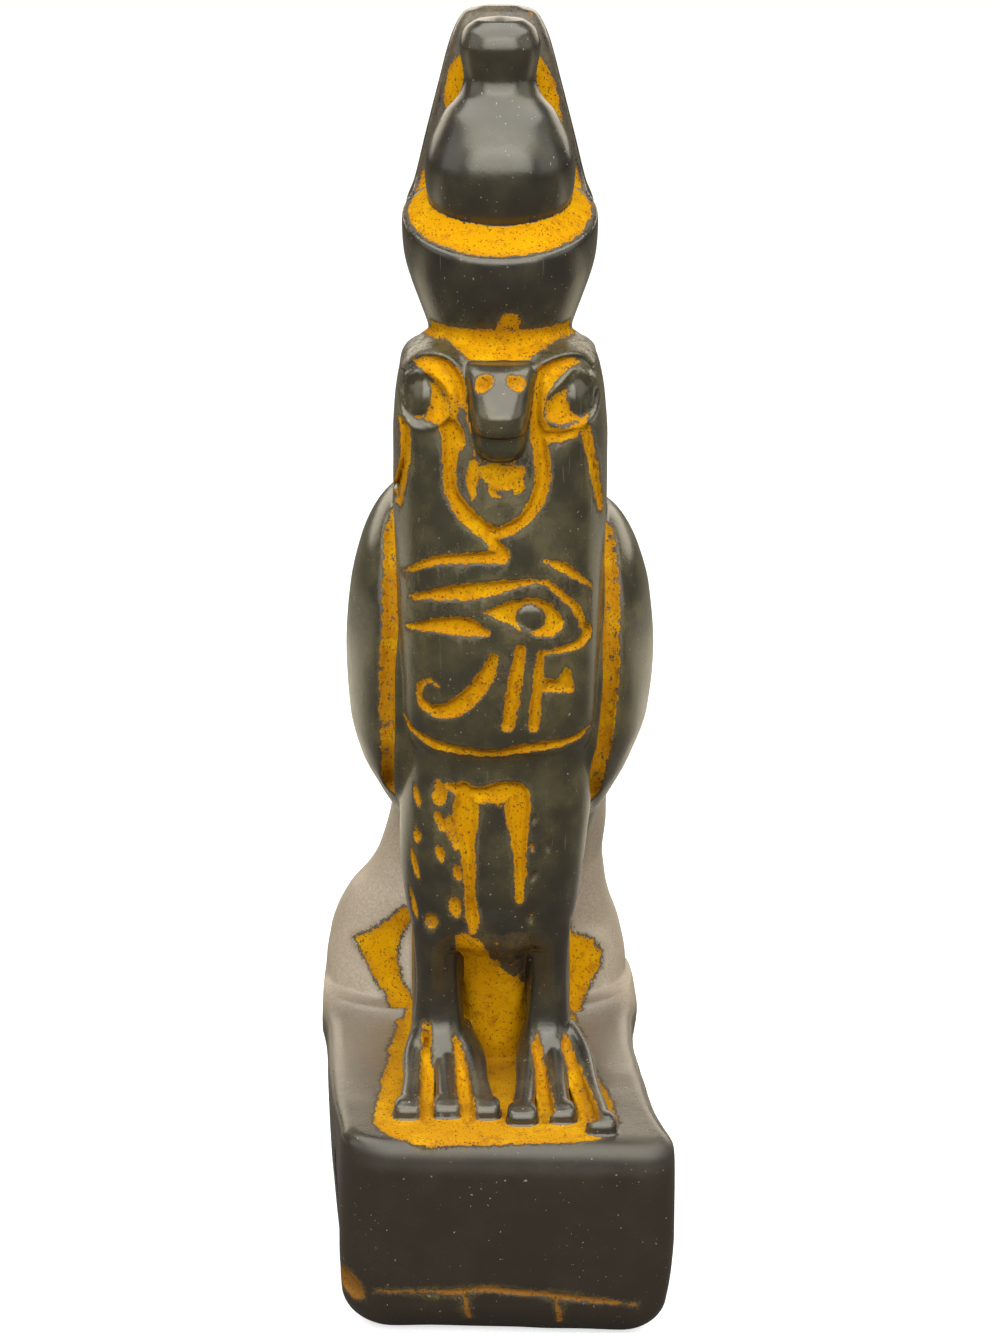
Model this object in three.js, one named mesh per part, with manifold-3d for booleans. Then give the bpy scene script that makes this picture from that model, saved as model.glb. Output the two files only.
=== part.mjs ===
// A falcon figure with a double crown, standing on a rough block, all in one piece of dark stone.
// The falcon looks along -Y. Its heights, widths and depths are percent of its own height above the
// block, measured from the block's top and from the falcon's upright axis.

import * as THREE from 'three';
import { mergeVertices } from 'three/addons/utils/BufferGeometryUtils.js';
import Module from 'manifold-3d';

const wasm = await Module();
wasm.setup();

// Driving sizes in millimetres.
const figureHeight = 200;
const plinthWidth = 63.6;
const plinthDepth = 106;
const plinthHeight = 40;
const footRounding = 7.5;
const topRounding = 3.6;
const plinthBulge = 0.8;
const plinthFlare = 0.9;
const plinthTaper = 3;
const plinthDrift = 7.4;
const plinthSlant = 2.6;
const plinthDraft = 2;
const plinthNose = 21.2;
const toeMargin = 6;
const tailMargin = 1.2;
const frontShare = 2 / 3;
const lineWidth = 2.2;
const lineDepth = 0.9;
const lineHeight = 10;

// Proportions of the falcon in percent of its height.
const toeReach = 27.4;
const bodyPower = 3;

const share = (percent) => (figureHeight * percent) / 100;
const rise = (percent) => plinthHeight + share(percent);
const plinthFront = -share(toeReach) - toeMargin;
const plinthBack = plinthFront + plinthDepth;

// An upright body given by level rings. Each row holds a height, the middle, the half width, the
// front and the back. Power 2 makes oval rings, and a higher power makes squarer ones.
class Form {
  constructor(power, rows, warp = (point) => point) {
    this.power = power;
    this.rows = rows;
    this.warp = warp;
  }

  row(height) {
    const found = this.rows.findIndex((row) => row[0] >= height);
    const above = found < 0 ? this.rows.length - 1 : Math.max(found, 1);
    const low = this.rows[above - 1];
    const high = this.rows[above];
    const part = THREE.MathUtils.clamp((height - low[0]) / (high[0] - low[0]), 0, 1);
    return low.map((value, column) => THREE.MathUtils.lerp(value, high[column], part));
  }

  // A place on the side, where angle 0 is at +X and -90 degrees at the front, moved out by a lift.
  point(height, angle, lift = 0) {
    const [, middle, half, front, back] = this.row(height);
    const bend = (value) => Math.sign(value) * Math.abs(value) ** (2 / this.power);
    const lean = (value) => Math.sign(value) * Math.abs(value) ** (this.power - 1);
    const reach = (back - front) / 2;
    const across = bend(Math.cos(angle));
    const along = bend(Math.sin(angle));
    const place = new THREE.Vector3(middle + half * across, (front + back) / 2 + reach * along, height);
    const outward = new THREE.Vector3(lean(across) / half, lean(along) / reach, 0).normalize();
    return this.warp(place.addScaledVector(outward, lift));
  }

  // A place on the front, given by its distance from the middle.
  front(height, across, lift = 0) {
    const half = this.row(height)[2];
    const part = Math.min(Math.abs(across) / half, 1) ** (this.power / 2);
    return this.point(height, -Math.acos(Math.sign(across) * part), lift);
  }

  solid(sides) {
    const angles = Array.from({ length: sides }, (_, side) => (side / sides) * 2 * Math.PI);
    return loft(this.rows.map(([height]) => angles.map((angle) => this.point(height, angle))));
  }
}

// A closed body through rings of equally many points, each ring above the one before.
function loft(rings) {
  const sides = rings[0].length;
  const middle = (ring) => {
    const sum = ring.reduce((total, point) => total.add(point), new THREE.Vector3());
    return sum.divideScalar(sides);
  };
  const points = [...rings.flat(), middle(rings[0]), middle(rings.at(-1))];
  const foot = points.length - 2;
  const top = points.length - 1;
  const last = (rings.length - 1) * sides;
  const faces = [];
  for (let side = 0; side < sides; side += 1) {
    const next = (side + 1) % sides;
    faces.push(foot, next, side, top, last + side, last + next);
    for (let below = 0; below < last; below += sides) {
      const above = below + sides;
      faces.push(below + side, below + next, above + next);
      faces.push(below + side, above + next, above + side);
    }
  }
  const geometry = new THREE.BufferGeometry().setFromPoints(points);
  geometry.setIndex(faces);
  return solidOf(geometry);
}

function solidOf(geometry) {
  const bare = geometry.clone();
  bare.deleteAttribute('normal');
  bare.deleteAttribute('uv');
  const merged = mergeVertices(bare, 1e-4);
  const mesh = new wasm.Mesh({
    numProp: 3,
    vertProperties: new Float32Array(merged.attributes.position.array),
    triVerts: new Uint32Array(merged.index.array)
  });
  return new wasm.Manifold(mesh);
}

// A round bar along a smooth curve, with thicknesses spread evenly from its start to its end.
function bar(points, thicknesses, sides = 7, steps = 3) {
  const curve = new THREE.CatmullRomCurve3(points);
  const frames = curve.computeFrenetFrames(steps);
  const rings = [];
  for (let step = 0; step <= steps; step += 1) {
    const place = (step / steps) * (thicknesses.length - 1);
    const before = Math.min(Math.floor(place), thicknesses.length - 2);
    const thick = THREE.MathUtils.lerp(thicknesses[before], thicknesses[before + 1], place - before);
    const centre = curve.getPointAt(step / steps);
    rings.push(Array.from({ length: sides }, (_, side) => {
      const angle = ((side + 0.5) / sides) * 2 * Math.PI;
      return centre.clone()
        .addScaledVector(frames.normals[step], (thick / 2) * Math.cos(angle))
        .addScaledVector(frames.binormals[step], (thick / 2) * Math.sin(angle));
    }));
  }
  return loft(rings);
}

// An egg with its reach along each axis in percent of the falcon's height.
function oval(centre, reach, sides = 10) {
  const geometry = new THREE.SphereGeometry(1, sides, sides / 2);
  geometry.scale(...reach.map(share));
  geometry.translate(...centre.toArray());
  return solidOf(geometry);
}

// The bar that cuts a channel. Each place is a function that gives a point lifted off the surface,
// and the lift leaves just the channel's depth of the bar inside.
function channel(places, width = lineWidth, depth = lineDepth) {
  const thickness = width ** 2 / (4 * depth) + depth;
  const points = places.map((place) => place(thickness / 2 - depth));
  return bar(points, [thickness, thickness], 5, Math.round(1.3 * (places.length - 1)));
}

// The block: level rings with rounded edges and a slight bulge. Its sides flare at the front, taper
// downwards behind it and drift to the left, its front comes forward at the right end, and its
// right side draws in towards the foot.
function blockSway(y) {
  const along = THREE.MathUtils.clamp((y - plinthFront) / plinthDepth, 0, 1);
  return plinthDrift * ((1 - along) ** 4 - frontShare);
}

function blockWarp(point) {
  const forward = 1 - THREE.MathUtils.smoothstep(point.y, plinthFront, plinthFront + plinthNose);
  const depth = 1 - point.z / plinthHeight;
  const widening = plinthFlare * forward - plinthTaper * (1 - forward) * depth;
  const across = (point.x / plinthWidth) * 2;
  const sway = blockSway(point.y);
  point.y -= (plinthSlant * forward * across) / 2;
  point.x += across * widening + sway - plinthDraft * Math.max(0, across) * depth ** 2;
  return point;
}

function blockRows() {
  const turns = 3;
  const quarter = (turn) => (turn / turns) * (Math.PI / 2);
  const inset = (turn, rounding) => rounding * (1 - Math.sin(quarter(turn)));
  const climb = (turn, rounding) => rounding * (1 - Math.cos(quarter(turn)));
  const level = (height, shrink) => {
    const bulge = plinthBulge * (2 * (height / plinthHeight) - 1) ** 2;
    const half = plinthWidth / 2 - bulge - shrink;
    return [height, 0, half, plinthFront + bulge + shrink, plinthBack - bulge - shrink];
  };
  const rows = [];
  for (let turn = 0; turn <= turns; turn += 1) {
    rows.push(level(climb(turn, footRounding), inset(turn, footRounding)));
  }
  rows.push(level(plinthHeight / 2, 0));
  for (let turn = turns; turn >= 0; turn -= 1) {
    rows.push(level(plinthHeight - climb(turn, topRounding), inset(turn, topRounding)));
  }
  return rows;
}

const block = new Form(14, blockRows(), blockWarp);

// The tail mass: it grows out of the back and spreads to the block's full width at its foot. Its
// columns say the height, then how far width, middle and back have gone towards those at the foot.
const tailSpread = [
  [-1, 1, 1, 2, 1],
  [3, 0.98, 1, 2.6, 1],
  [5.5, 0.86, 1, 3.4, 0.98],
  [7.5, 0.7, 0.97, 4.2, 0.94],
  [10, 0.47, 0.82, 4.6, 0.87],
  [12, 0.24, 0.56, 4.8, 0.8],
  [14.3, 0.08, 0.36, 5, 0.72],
  [18.5, 0, 0.08, 5, 0.58],
  [25, -0.1, 0, 4.6, 0.4],
  [33, -0.55, 0, 4.2, 0.22],
  [42, -0.95, 0, 4, 0.08],
  [50, -1.5, 0, 4, -0.03]
];

const tail = new Form(2.4, tailSpread.map(([up, width, middle, front, back]) => [
  rise(up),
  middle * blockSway(plinthBack),
  THREE.MathUtils.lerp(share(10.9), plinthWidth / 2 - tailMargin, width),
  share(front),
  THREE.MathUtils.lerp(share(9.5), plinthBack - topRounding - tailMargin, back)
]));

// The web of stone behind the legs, which carries the body.
const webFront = 9.8;
const web = new Form(5, [[-1, 7.9], [4, 7.7], [16, 7.7]].map(([up, half]) => [
  rise(up), -share(0.9), share(half), -share(webFront), share(8)
]));

// Thighs, chest and head in one: height, half width, front and back.
const trunkRows = [
  [12.6, 6.9, -14.0, 0],
  [13.6, 7.5, -15.2, 1],
  [15.5, 8.0, -15.9, 3],
  [18, 8.5, -16.2, 5],
  [23, 8.9, -16.6, 7.5],
  [28, 9.1, -16.6, 8.5],
  [31.5, 9.2, -16.4, 9.5],
  [33, 9.3, -16.8, 9.5],
  [34.3, 9.5, -17.7, 9.5],
  [38, 9.7, -18.4, 9.5],
  [44, 9.8, -18.7, 9.5],
  [50, 9.8, -18.5, 8.5],
  [56, 9.9, -18.0, 7.5],
  [62, 9.9, -17.5, 6],
  [66, 9.7, -17.0, 5],
  [69, 9.3, -16.3, 4],
  [71, 8.6, -15.2, 3],
  [72.3, 7.3, -13.6, 2]
];

const headFoot = 60;
const headTop = 72.3;
const headFront = 18;
const headTilt = 0.14;

function headWarp(point) {
  const part = THREE.MathUtils.clamp((point.z - rise(headFoot)) / share(headTop - headFoot), 0, 1);
  point.z -= headTilt * part * Math.max(0, point.y + share(headFront));
  return point;
}

const trunk = new Form(
  bodyPower,
  trunkRows.map(([up, half, front, back]) => [rise(up), 0, share(half), share(front), share(back)]),
  headWarp
);

// Folded wings: height, reach from the axis, front and back. They run back into the tail mass.
const wingRoot = 8;
const shoulderSlope = 0.8;
const wingRows = [
  [12, 8.8, 10, 14],
  [18, 9.6, 4, 15],
  [22, 10.2, -2, 15],
  [25.2, 11.2, -7.4, 14.6],
  [29.3, 13.3, -11.6, 13.5],
  [33.5, 14.4, -13.2, 13],
  [39.5, 14.8, -13.4, 12.5],
  [45.5, 14.3, -12.5, 11.5],
  [49.5, 13.3, -10.5, 9.5],
  [52, 12.1, -7.5, 7.5],
  [53.9, 10.4, -4, 5],
  [54.8, 8.6, -1, 3]
];

const wings = [-1, 1].map((side) => new Form(2, wingRows.map(([up, out, front, back]) => [
  rise(up - side * shoulderSlope * Math.max(0, (up - 40) / 15)),
  side * share(wingRoot),
  share(out - wingRoot),
  share(front),
  share(back)
])));

// Legs and toes. Each leg has its middle, its half width, where its toes start and where they end.
const legs = [
  {
    middle: -5.85,
    half: 2.25,
    starts: [-8, -5.3, -2.7],
    ends: [[-8.5, -22.7], [-5, -22.5], [-1.4, -22.7]]
  },
  {
    middle: 4.5,
    half: 1.95,
    starts: [2.8, 5.2, 7.6],
    ends: [[2.1, -24], [5.7, -23.6], [9.4, -26]]
  }
];
// A shin's places in front of the web and their heights, with the thickness there as a share of
// the leg's half width. Toes start under the shin, rise over a knuckle and end in round tips.
const shin = [[2.8, 14.5, 2.15], [1.9, 9, 1.95], [2.2, 4.5, 2.2], [3.4, 1, 3]];
const toeRoot = { front: 11.5, up: 3.4 };
const toeKnuckle = { front: 14.6, up: 2.2 };
const toeThickness = [3.4, 2.3, 2.2];
const toeBack = 1.4;
const toeHeight = 0.9;
const tipReach = [1.25, 1.5, 1.3];

function legSolids({ middle, half, starts, ends }) {
  const place = (across, along, up) => new THREE.Vector3(share(across), share(along), rise(up));
  const column = bar(
    shin.map(([front, up]) => place(middle, -webFront - front, up)),
    shin.map(([, , thick]) => share(thick * half)),
    8,
    4
  );
  const toes = starts.map((start, toe) => {
    const [across, along] = ends[toe];
    return bar([
      place((start + middle) / 2, -toeRoot.front, toeRoot.up),
      place(start, -toeKnuckle.front, toeKnuckle.up),
      place((start + across) / 2, (along - toeKnuckle.front) / 2, toeBack),
      place(across, along, toeHeight)
    ], toeThickness.map(share));
  });
  const tips = ends.map(([across, along]) => oval(place(across, along, toeHeight), tipReach, 6));
  return [column, ...toes, ...tips];
}

// Places on the trunk's front for a list of distances from the middle and heights.
const onTrunk = ([across, up]) => (lift) => trunk.front(rise(up), share(across), lift);
const mirrored = (places) => places.map(([across, up]) => [-across, up]);

// The face: a hooked beak, a ridge round each eye and the eyeball in it.
const beak = new Form(2.4, [
  [61.2, 1.3, -17.6],
  [61.9, 2.1, -19.2],
  [63, 2.5, -20.3],
  [64.4, 2.3, -20.9],
  [66.5, 2.4, -20.2],
  [68.5, 2.9, -19.0],
  [70.2, 3.5, -17.8],
  [71.6, 3.2, -15.4]
].map(([up, half, front]) => [rise(up), 0, share(half), share(front), -share(11)]));

const eyeRidge = [
  [-3.5, 66.6], [-3.9, 69.4], [-5.2, 70.7], [-7.2, 70.7], [-8.8, 69],
  [-9.2, 66.6], [-8.5, 64.4], [-6.8, 63.6], [-4.9, 64.2], [-3.7, 65.8]
];
const ridgeThickness = 1;
const socket = { middle: [-6.4, 67.1], lift: 0.4, reach: [2.2, 1.2, 2.9] };
const eyeball = { middle: [-7.3, 67.2], lift: -0.35, reach: [1.5, 1.1, 2.3] };

const faceOval = ({ middle: [across, up], lift, reach }, side) => (
  oval(onTrunk([-side * across, up])(share(lift)), reach)
);

function eyeRing(side) {
  const places = side < 0 ? eyeRidge : mirrored(eyeRidge);
  const thickness = share(ridgeThickness);
  return bar(places.map((place) => onTrunk(place)(0)), [thickness, thickness], 5, 10);
}

// The double crown: a flared cup, a bulb with a knob that rises from it, and a tall plate behind.
const crownMiddle = -6;
const cupStretch = 1.1;
const cupTilt = 0.16;

// A turned body from heights and radii, stretched and moved to its place.
function turned(profile, sides, middle, stretch, tilt = 0) {
  const points = profile.map(([up, radius]) => new THREE.Vector2(share(radius), rise(up)));
  const geometry = new THREE.LatheGeometry(points, sides);
  geometry.rotateX(Math.PI / 2);
  geometry.scale(1, stretch, 1);
  const place = geometry.attributes.position;
  const low = rise(profile[0][0]);
  const high = rise(profile.at(-1)[0]);
  for (let index = 0; index < place.count; index += 1) {
    const part = (place.getZ(index) - low) / (high - low);
    place.setZ(index, place.getZ(index) + tilt * part * place.getY(index));
  }
  geometry.translate(0, share(middle), 0);
  return solidOf(geometry);
}

const cupProfile = [
  [68, 0], [68, 6.2], [71, 6.4], [72.5, 6.8], [74.5, 7.5], [76.5, 8.2], [78.5, 8.75],
  [80.5, 8.95], [81.6, 8.8], [81.9, 8.4], [81.6, 8.1], [83.3, 6.4], [83.6, 0]
];
const bulbProfile = [
  [79, 0], [81.2, 5.6], [82.2, 6.6], [83.8, 7.05], [85.5, 6.95], [88, 6.2], [90.4, 5],
  [92.4, 3.95], [93.8, 3.45], [95.2, 3.5], [96.8, 3.65], [98.3, 3.3], [99.4, 2.3], [100, 0]
];

const spire = new Form(3, [
  [72, 4, -4, -0.6],
  [76, 6.3, -4, 2.4],
  [79, 7.8, -4, 3.9],
  [81.8, 8.75, -3.6, 4.8],
  [84, 8, -3, 5],
  [88, 7, -2.6, 4.9],
  [93, 5.7, -2.2, 4.7],
  [97, 4.6, -1.8, 4.5],
  [98.6, 3.9, -1.3, 4.2],
  [99.5, 3.2, -0.6, 3.6],
  [100, 2, 0.4, 2.6]
].map(([up, half, front, back]) => [rise(up), 0, share(half), share(front), share(back)]));

// Channels on the trunk, with widths and depths in percent of the falcon's height.
const chestEye = [
  { width: 1.1, places: [[-8.9, 50.3], [-6.8, 52.3], [-2.7, 53.2], [0.9, 52.6]] },
  { width: 0.9, places: [[4.1, 52.6], [6.4, 51.3], [8.4, 49.4]] },
  {
    width: 0.9,
    places: [[-8.3, 48.6], [-5.5, 49.6], [-1.8, 50.3], [1.8, 50.7], [4.5, 49.9], [6.6, 48.2], [7.7, 46]]
  },
  {
    width: 0.8,
    places: [[-8.8, 45.4], [-6.4, 46.7], [-3.8, 46.8], [-1.8, 45.9], [1.2, 44.4], [3.6, 43.6], [7.9, 44.3]]
  },
  {
    width: 1.4,
    places: [
      [-0.6, 42.9], [-0.9, 41.3], [-2.2, 39.4], [-4.1, 38.1],
      [-5.9, 37.7], [-7.3, 38.5], [-7.5, 39.8], [-6.5, 40.7]
    ]
  },
  { width: 1.2, places: [[1.7, 43.3], [1.4, 40.8], [0.8, 37.1]] },
  { width: 1, places: [[3.8, 43], [3.5, 40.3], [2.9, 36.8]] },
  { width: 1.6, places: [[4.5, 40.6], [5.6, 40.6], [6.2, 41]] }
];
const openEye = [
  [-0.6, 47.5], [1.2, 48.3], [2.9, 48.6], [4.5, 48.2], [5.7, 46.8],
  [4.6, 45.9], [2.8, 45.6], [1, 46.4], [-0.5, 47.3]
];
const bib = [
  [-4.9, 65], [-5, 60], [-4.1, 57.6], [-2, 55.9], [0, 55.3],
  [2.7, 56.2], [4.1, 58.1], [4.6, 61], [4.8, 65]
];
const bibTail = [[-1.6, 55.8], [-0.6, 54.6], [0.3, 53]];
const chestHem = [[-8.6, 34.6], [-5.5, 34.5], [-0.5, 34], [3.7, 34.3], [8.6, 34.8]];
const arch = [
  [-2.8, 15.4], [-3.3, 20], [-3.4, 25], [-3.2, 29],
  [-0.5, 30.2], [2.4, 29], [2.6, 25], [2.2, 18.6]
];
const cheeks = [[-8.7, 63.4], [-9.2, 59.8], [-9.4, 56.6]];
const featherCuts = [
  [[-8.5, 29.2], [-7.3, 27.6]], [[-8.9, 21.2], [-7.6, 20.1]], [[-8.6, 17.4], [-7.9, 15.5]],
  [[-5.6, 30.3], [-5.5, 28.4]], [[-5.9, 27.2], [-5.2, 25.8]], [[-4.7, 27.3], [-4, 24.5]],
  [[-5.6, 24.2], [-5.3, 23]], [[-4.2, 22.2], [-3.9, 20.7]], [[-4.3, 19], [-4, 17.4]],
  [[-8.1, 24.9], [-7.7, 24.1]], [[-6.7, 16.8], [-6.4, 15.9]]
];
const faintCuts = [[[8.2, 29], [7.2, 27.2]], [[8.3, 22.5], [7.5, 20.8]], [[5.6, 27.6], [5.1, 25]]];

function trunkCuts() {
  const cut = (places, width, depth = 0.45) => channel(places.map(onTrunk), share(width), share(depth));
  return [
    ...chestEye.map(({ width, places }) => cut(places, width)),
    cut(openEye, 0.95),
    cut(bib, 1.3, 0.6),
    cut(bibTail, 1.4, 0.4),
    cut(chestHem, 0.9),
    cut(arch, 1.3, 0.6),
    cut(cheeks, 0.9, 0.3),
    cut(mirrored(cheeks), 0.9, 0.3),
    ...featherCuts.map((places) => cut(places, 0.8, 0.35)),
    ...faintCuts.map((places) => cut(places, 0.7, 0.2))
  ];
}

// The deep channel between the chest and each wing, a little outside the chest's side.
const wingChannel = { heights: [53.6, 51, 46, 40, 34, 29, 24.5], front: 13.2, gap: 0.35 };
const wingChannelThickness = [2, 2.3, 2];

function wingCut(side) {
  const places = wingChannel.heights.map((up) => {
    const half = trunk.row(rise(up))[2];
    return new THREE.Vector3(side * (half + share(wingChannel.gap)), -share(wingChannel.front), rise(up));
  });
  return bar(places, wingChannelThickness.map(share), 8, 9);
}

// Long feather lines on the wings and on the tail's back, plain because they are hidden. Each wing
// line lies between the fan's lowest and highest line, which give heights and angles round the wing.
const lowestPlume = [[34, -40], [29, -10], [24.5, 25]];
const highestPlume = [[42, 40], [35, 52], [27, 66]];
const plumeFan = [0.25, 0.75];
const tailPlumes = { heights: [6, 14, 22], turns: [-24, 0, 24] };

function plumeCuts() {
  const { degToRad, lerp } = THREE.MathUtils;
  const onWings = wings.flatMap((wing, index) => plumeFan.map((part) => {
    const places = lowestPlume.map(([up, degrees], place) => [
      lerp(up, highestPlume[place][0], part),
      lerp(degrees, highestPlume[place][1], part)
    ]);
    const turn = (degrees) => degToRad(index === 0 ? 180 - degrees : degrees);
    return channel(places.map(([up, degrees]) => (out) => wing.point(rise(up), turn(degrees), out)));
  }));
  const onTail = tailPlumes.turns.map((degrees) => channel(tailPlumes.heights.map((up) => (out) => (
    tail.point(rise(up), degToRad(90 + degrees), out)
  ))));
  return [...onWings, ...onTail];
}

// The line near the foot of the block's front, its two short ticks, and strokes on the left side.
// The ticks' places are shares of the half line, and the strokes' of the block's depth and height.
const tickPlaces = [-0.22, 0.38];
const tickFineness = 0.6;
const strokeCount = 6;
const strokes = { reach: 0.7, foot: 0.4, top: 0.72, slope: 1 / 12, fineness: 0.7 };

function blockCuts() {
  const onFront = (across, height) => (lift) => block.front(height, across, lift);
  const edge = plinthWidth / 2 - footRounding;
  const ticks = tickPlaces.map((place) => channel(
    [onFront(edge * place, lineHeight), onFront(edge * place, lineHeight / 4)],
    lineWidth * tickFineness,
    lineDepth * tickFineness
  ));
  const line = channel([
    onFront(-edge, lineHeight),
    onFront(-edge / 3, lineHeight + lineWidth / 4),
    onFront(edge / 5, lineHeight),
    onFront(edge, lineHeight - lineWidth / 2)
  ]);
  const [, , half, front, back] = block.row(plinthHeight / 2);
  const onSide = (along, height) => (lift) => blockWarp(
    new THREE.Vector3(-half - lift, (front + back) / 2 + along, plinthHeight * height)
  );
  const sideStrokes = Array.from({ length: strokeCount }, (_, index) => {
    const along = ((index + 0.5) / strokeCount - 0.5) * plinthDepth * strokes.reach;
    const slope = index % 3 === 1 ? plinthHeight * strokes.slope : 0;
    const ends = [onSide(along - slope, strokes.foot), onSide(along + slope, strokes.top)];
    return channel(ends, lineWidth, lineDepth * strokes.fineness);
  });
  return [line, ...ticks, ...sideStrokes];
}

const sides = [-1, 1];
const joined = [
  tail.solid(20),
  web.solid(10),
  trunk.solid(24),
  ...wings.map((wing) => wing.solid(14))
].reduce((whole, piece) => whole.add(piece), block.solid(26));

const cuts = [
  ...trunkCuts(),
  ...sides.map(wingCut),
  ...sides.map((side) => faceOval(socket, side)),
  ...plumeCuts(),
  ...blockCuts()
];
const carved = cuts.reduce((whole, piece) => whole.subtract(piece), joined);

const figure = [
  ...legs.flatMap(legSolids),
  beak.solid(10),
  ...sides.flatMap((side) => [eyeRing(side), faceOval(eyeball, side)]),
  turned(cupProfile, 22, crownMiddle, cupStretch, cupTilt),
  spire.solid(12),
  turned(bulbProfile, 18, crownMiddle - 0.4, 1)
].reduce((whole, piece) => whole.add(piece), carved);

// One closed body, set with the middle of its foot at the origin.
function meshOf(solid) {
  const { vertProperties, triVerts } = solid.getMesh();
  const geometry = new THREE.BufferGeometry();
  geometry.setAttribute('position', new THREE.BufferAttribute(vertProperties, 3));
  geometry.setIndex(new THREE.BufferAttribute(triVerts, 1));
  geometry.computeBoundingBox();
  const { min, max } = geometry.boundingBox;
  geometry.translate(-(min.x + max.x) / 2, -(min.y + max.y) / 2, -min.z);
  geometry.computeVertexNormals();
  const stone = new THREE.MeshStandardMaterial({ color: 0x3c3832, roughness: 0.35, metalness: 0 });
  const mesh = new THREE.Mesh(geometry, stone);
  mesh.name = 'horus_falcon_figure';
  return mesh;
}

const group = new THREE.Group();
group.add(meshOf(figure));

export default group;
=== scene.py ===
"""A dark stone falcon in a double crown, on its block.

The figure is modelled as clay on a grid of distances in millimetres: upright forms are laid
together, rounded into one another and carved, and the grid becomes one smooth mesh. Every corner of
the mesh keeps how far it lies inside the pigment, and the finish paints the recesses by it.
"""

import math

import bpy
import numpy as np
import openvdb
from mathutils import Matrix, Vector


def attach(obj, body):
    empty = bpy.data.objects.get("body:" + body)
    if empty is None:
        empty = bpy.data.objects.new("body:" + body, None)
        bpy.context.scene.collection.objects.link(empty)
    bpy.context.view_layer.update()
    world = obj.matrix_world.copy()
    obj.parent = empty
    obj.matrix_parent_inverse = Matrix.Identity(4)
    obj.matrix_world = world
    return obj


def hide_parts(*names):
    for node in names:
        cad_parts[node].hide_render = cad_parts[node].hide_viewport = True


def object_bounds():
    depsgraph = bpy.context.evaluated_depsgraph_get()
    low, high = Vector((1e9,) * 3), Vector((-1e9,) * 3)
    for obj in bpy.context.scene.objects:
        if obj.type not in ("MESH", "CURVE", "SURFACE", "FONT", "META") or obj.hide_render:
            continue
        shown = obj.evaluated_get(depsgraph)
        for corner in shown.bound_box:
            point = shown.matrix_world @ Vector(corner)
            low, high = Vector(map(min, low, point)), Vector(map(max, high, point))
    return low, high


bl_info = {
    "name": "Stone Falcon",
    "version": (1, 0, 0),
    "blender": (4, 5, 0),
    "location": "View3D > Sidebar > Falcon",
    "description": "Carves and finishes a crowned stone falcon and sets its stage",
    "category": "Add Mesh",
}

NODE = "horus_falcon_figure"
PIECE = "carved_falcon"
MM = 0.001

# A distance in millimetres past all that matter, a number that keeps sums from dividing by 0, and the
# least slope that a field is taken to have.
FAR = 30.0
TINY = 1e-9
LEAST_SLOPE = 0.02

# How the clay is measured: cells round the figure and round a shape, cells that a cutter's distances
# reach and from which a face's direction is read, the range of random numbers in a swell, and the
# points between two places of a path and of a turned outline.
EDGE_CELLS = 3
MARGIN_CELLS = 4
CUTTER_CELLS = 5.0
NORMAL_REACH = 0.8
SWELL_RANGE = 2.5
PATH_PIECES = 5
PROFILE_PIECES = 4

# The drawings' step and the room round their marks, in millimetres.
DRAWING_STEP = 0.2
STROKE_MARGIN = 2
PATCH_MARGIN = 3
DOME_MARGIN = 1

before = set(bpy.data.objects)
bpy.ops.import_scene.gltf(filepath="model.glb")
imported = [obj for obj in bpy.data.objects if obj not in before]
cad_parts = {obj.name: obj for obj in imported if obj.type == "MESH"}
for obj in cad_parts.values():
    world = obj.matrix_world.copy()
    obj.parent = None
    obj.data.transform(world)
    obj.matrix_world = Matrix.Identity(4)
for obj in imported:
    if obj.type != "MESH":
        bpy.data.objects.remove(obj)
cad_low, cad_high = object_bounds()
cad_size = cad_high - cad_low
PLINTH = 40.0
HEIGHT = cad_size.z / MM - PLINTH

# The knob stands highest, and the falcon's upright axis runs behind it.
KNOB_MIDDLE = -6.4
TOP_SLACK = 0.01


def share(percent):
    """A percent of the falcon's own height, in millimetres."""
    return np.multiply(percent, HEIGHT / 100)


def rise(percent):
    """The height over the floor of a percent of the falcon's height over the block."""
    return PLINTH + share(percent)


def axis_place():
    """Where the falcon's upright axis stands in the frame, in millimetres."""
    corners = np.array([corner.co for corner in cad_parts[NODE].data.vertices]) / MM
    top = corners[corners[:, 2] > corners[:, 2].max() - TOP_SLACK]
    across = (top[:, 0].min() + top[:, 0].max()) / 2
    return np.array([across, top[:, 1].min() - share(KNOB_MIDDLE), 0])


AXIS = axis_place()

# The block, in millimetres: its size, how far its sides flare at the front and taper behind, how it
# drifts to the left, how its front slants, how its right side draws in downwards and its left side
# upwards at the front, how round its edges are, and how far the tail keeps off its back.
BLOCK_WIDTH = 63.6
BLOCK_DEPTH = 106.0
BLOCK_FRONT = -60.8
BLOCK_BULGE = 0.8
BLOCK_FLARE = 0.9
BLOCK_TAPER = 3.0
BLOCK_DRIFT = 7.4
BLOCK_SLANT = 2.6
BLOCK_DRAFT = 2.0
BLOCK_DRAW = 1.8
DRAW_FADE = (25, -10)
DRIFT_POWER = 4
BLOCK_NOSE = 21.2
BLOCK_EDGES = (7.5, 3.0)
BLOCK_CORNER = 9.0
FRONT_SHARE = 2 / 3
TAIL_MARGIN = 4.8

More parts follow.
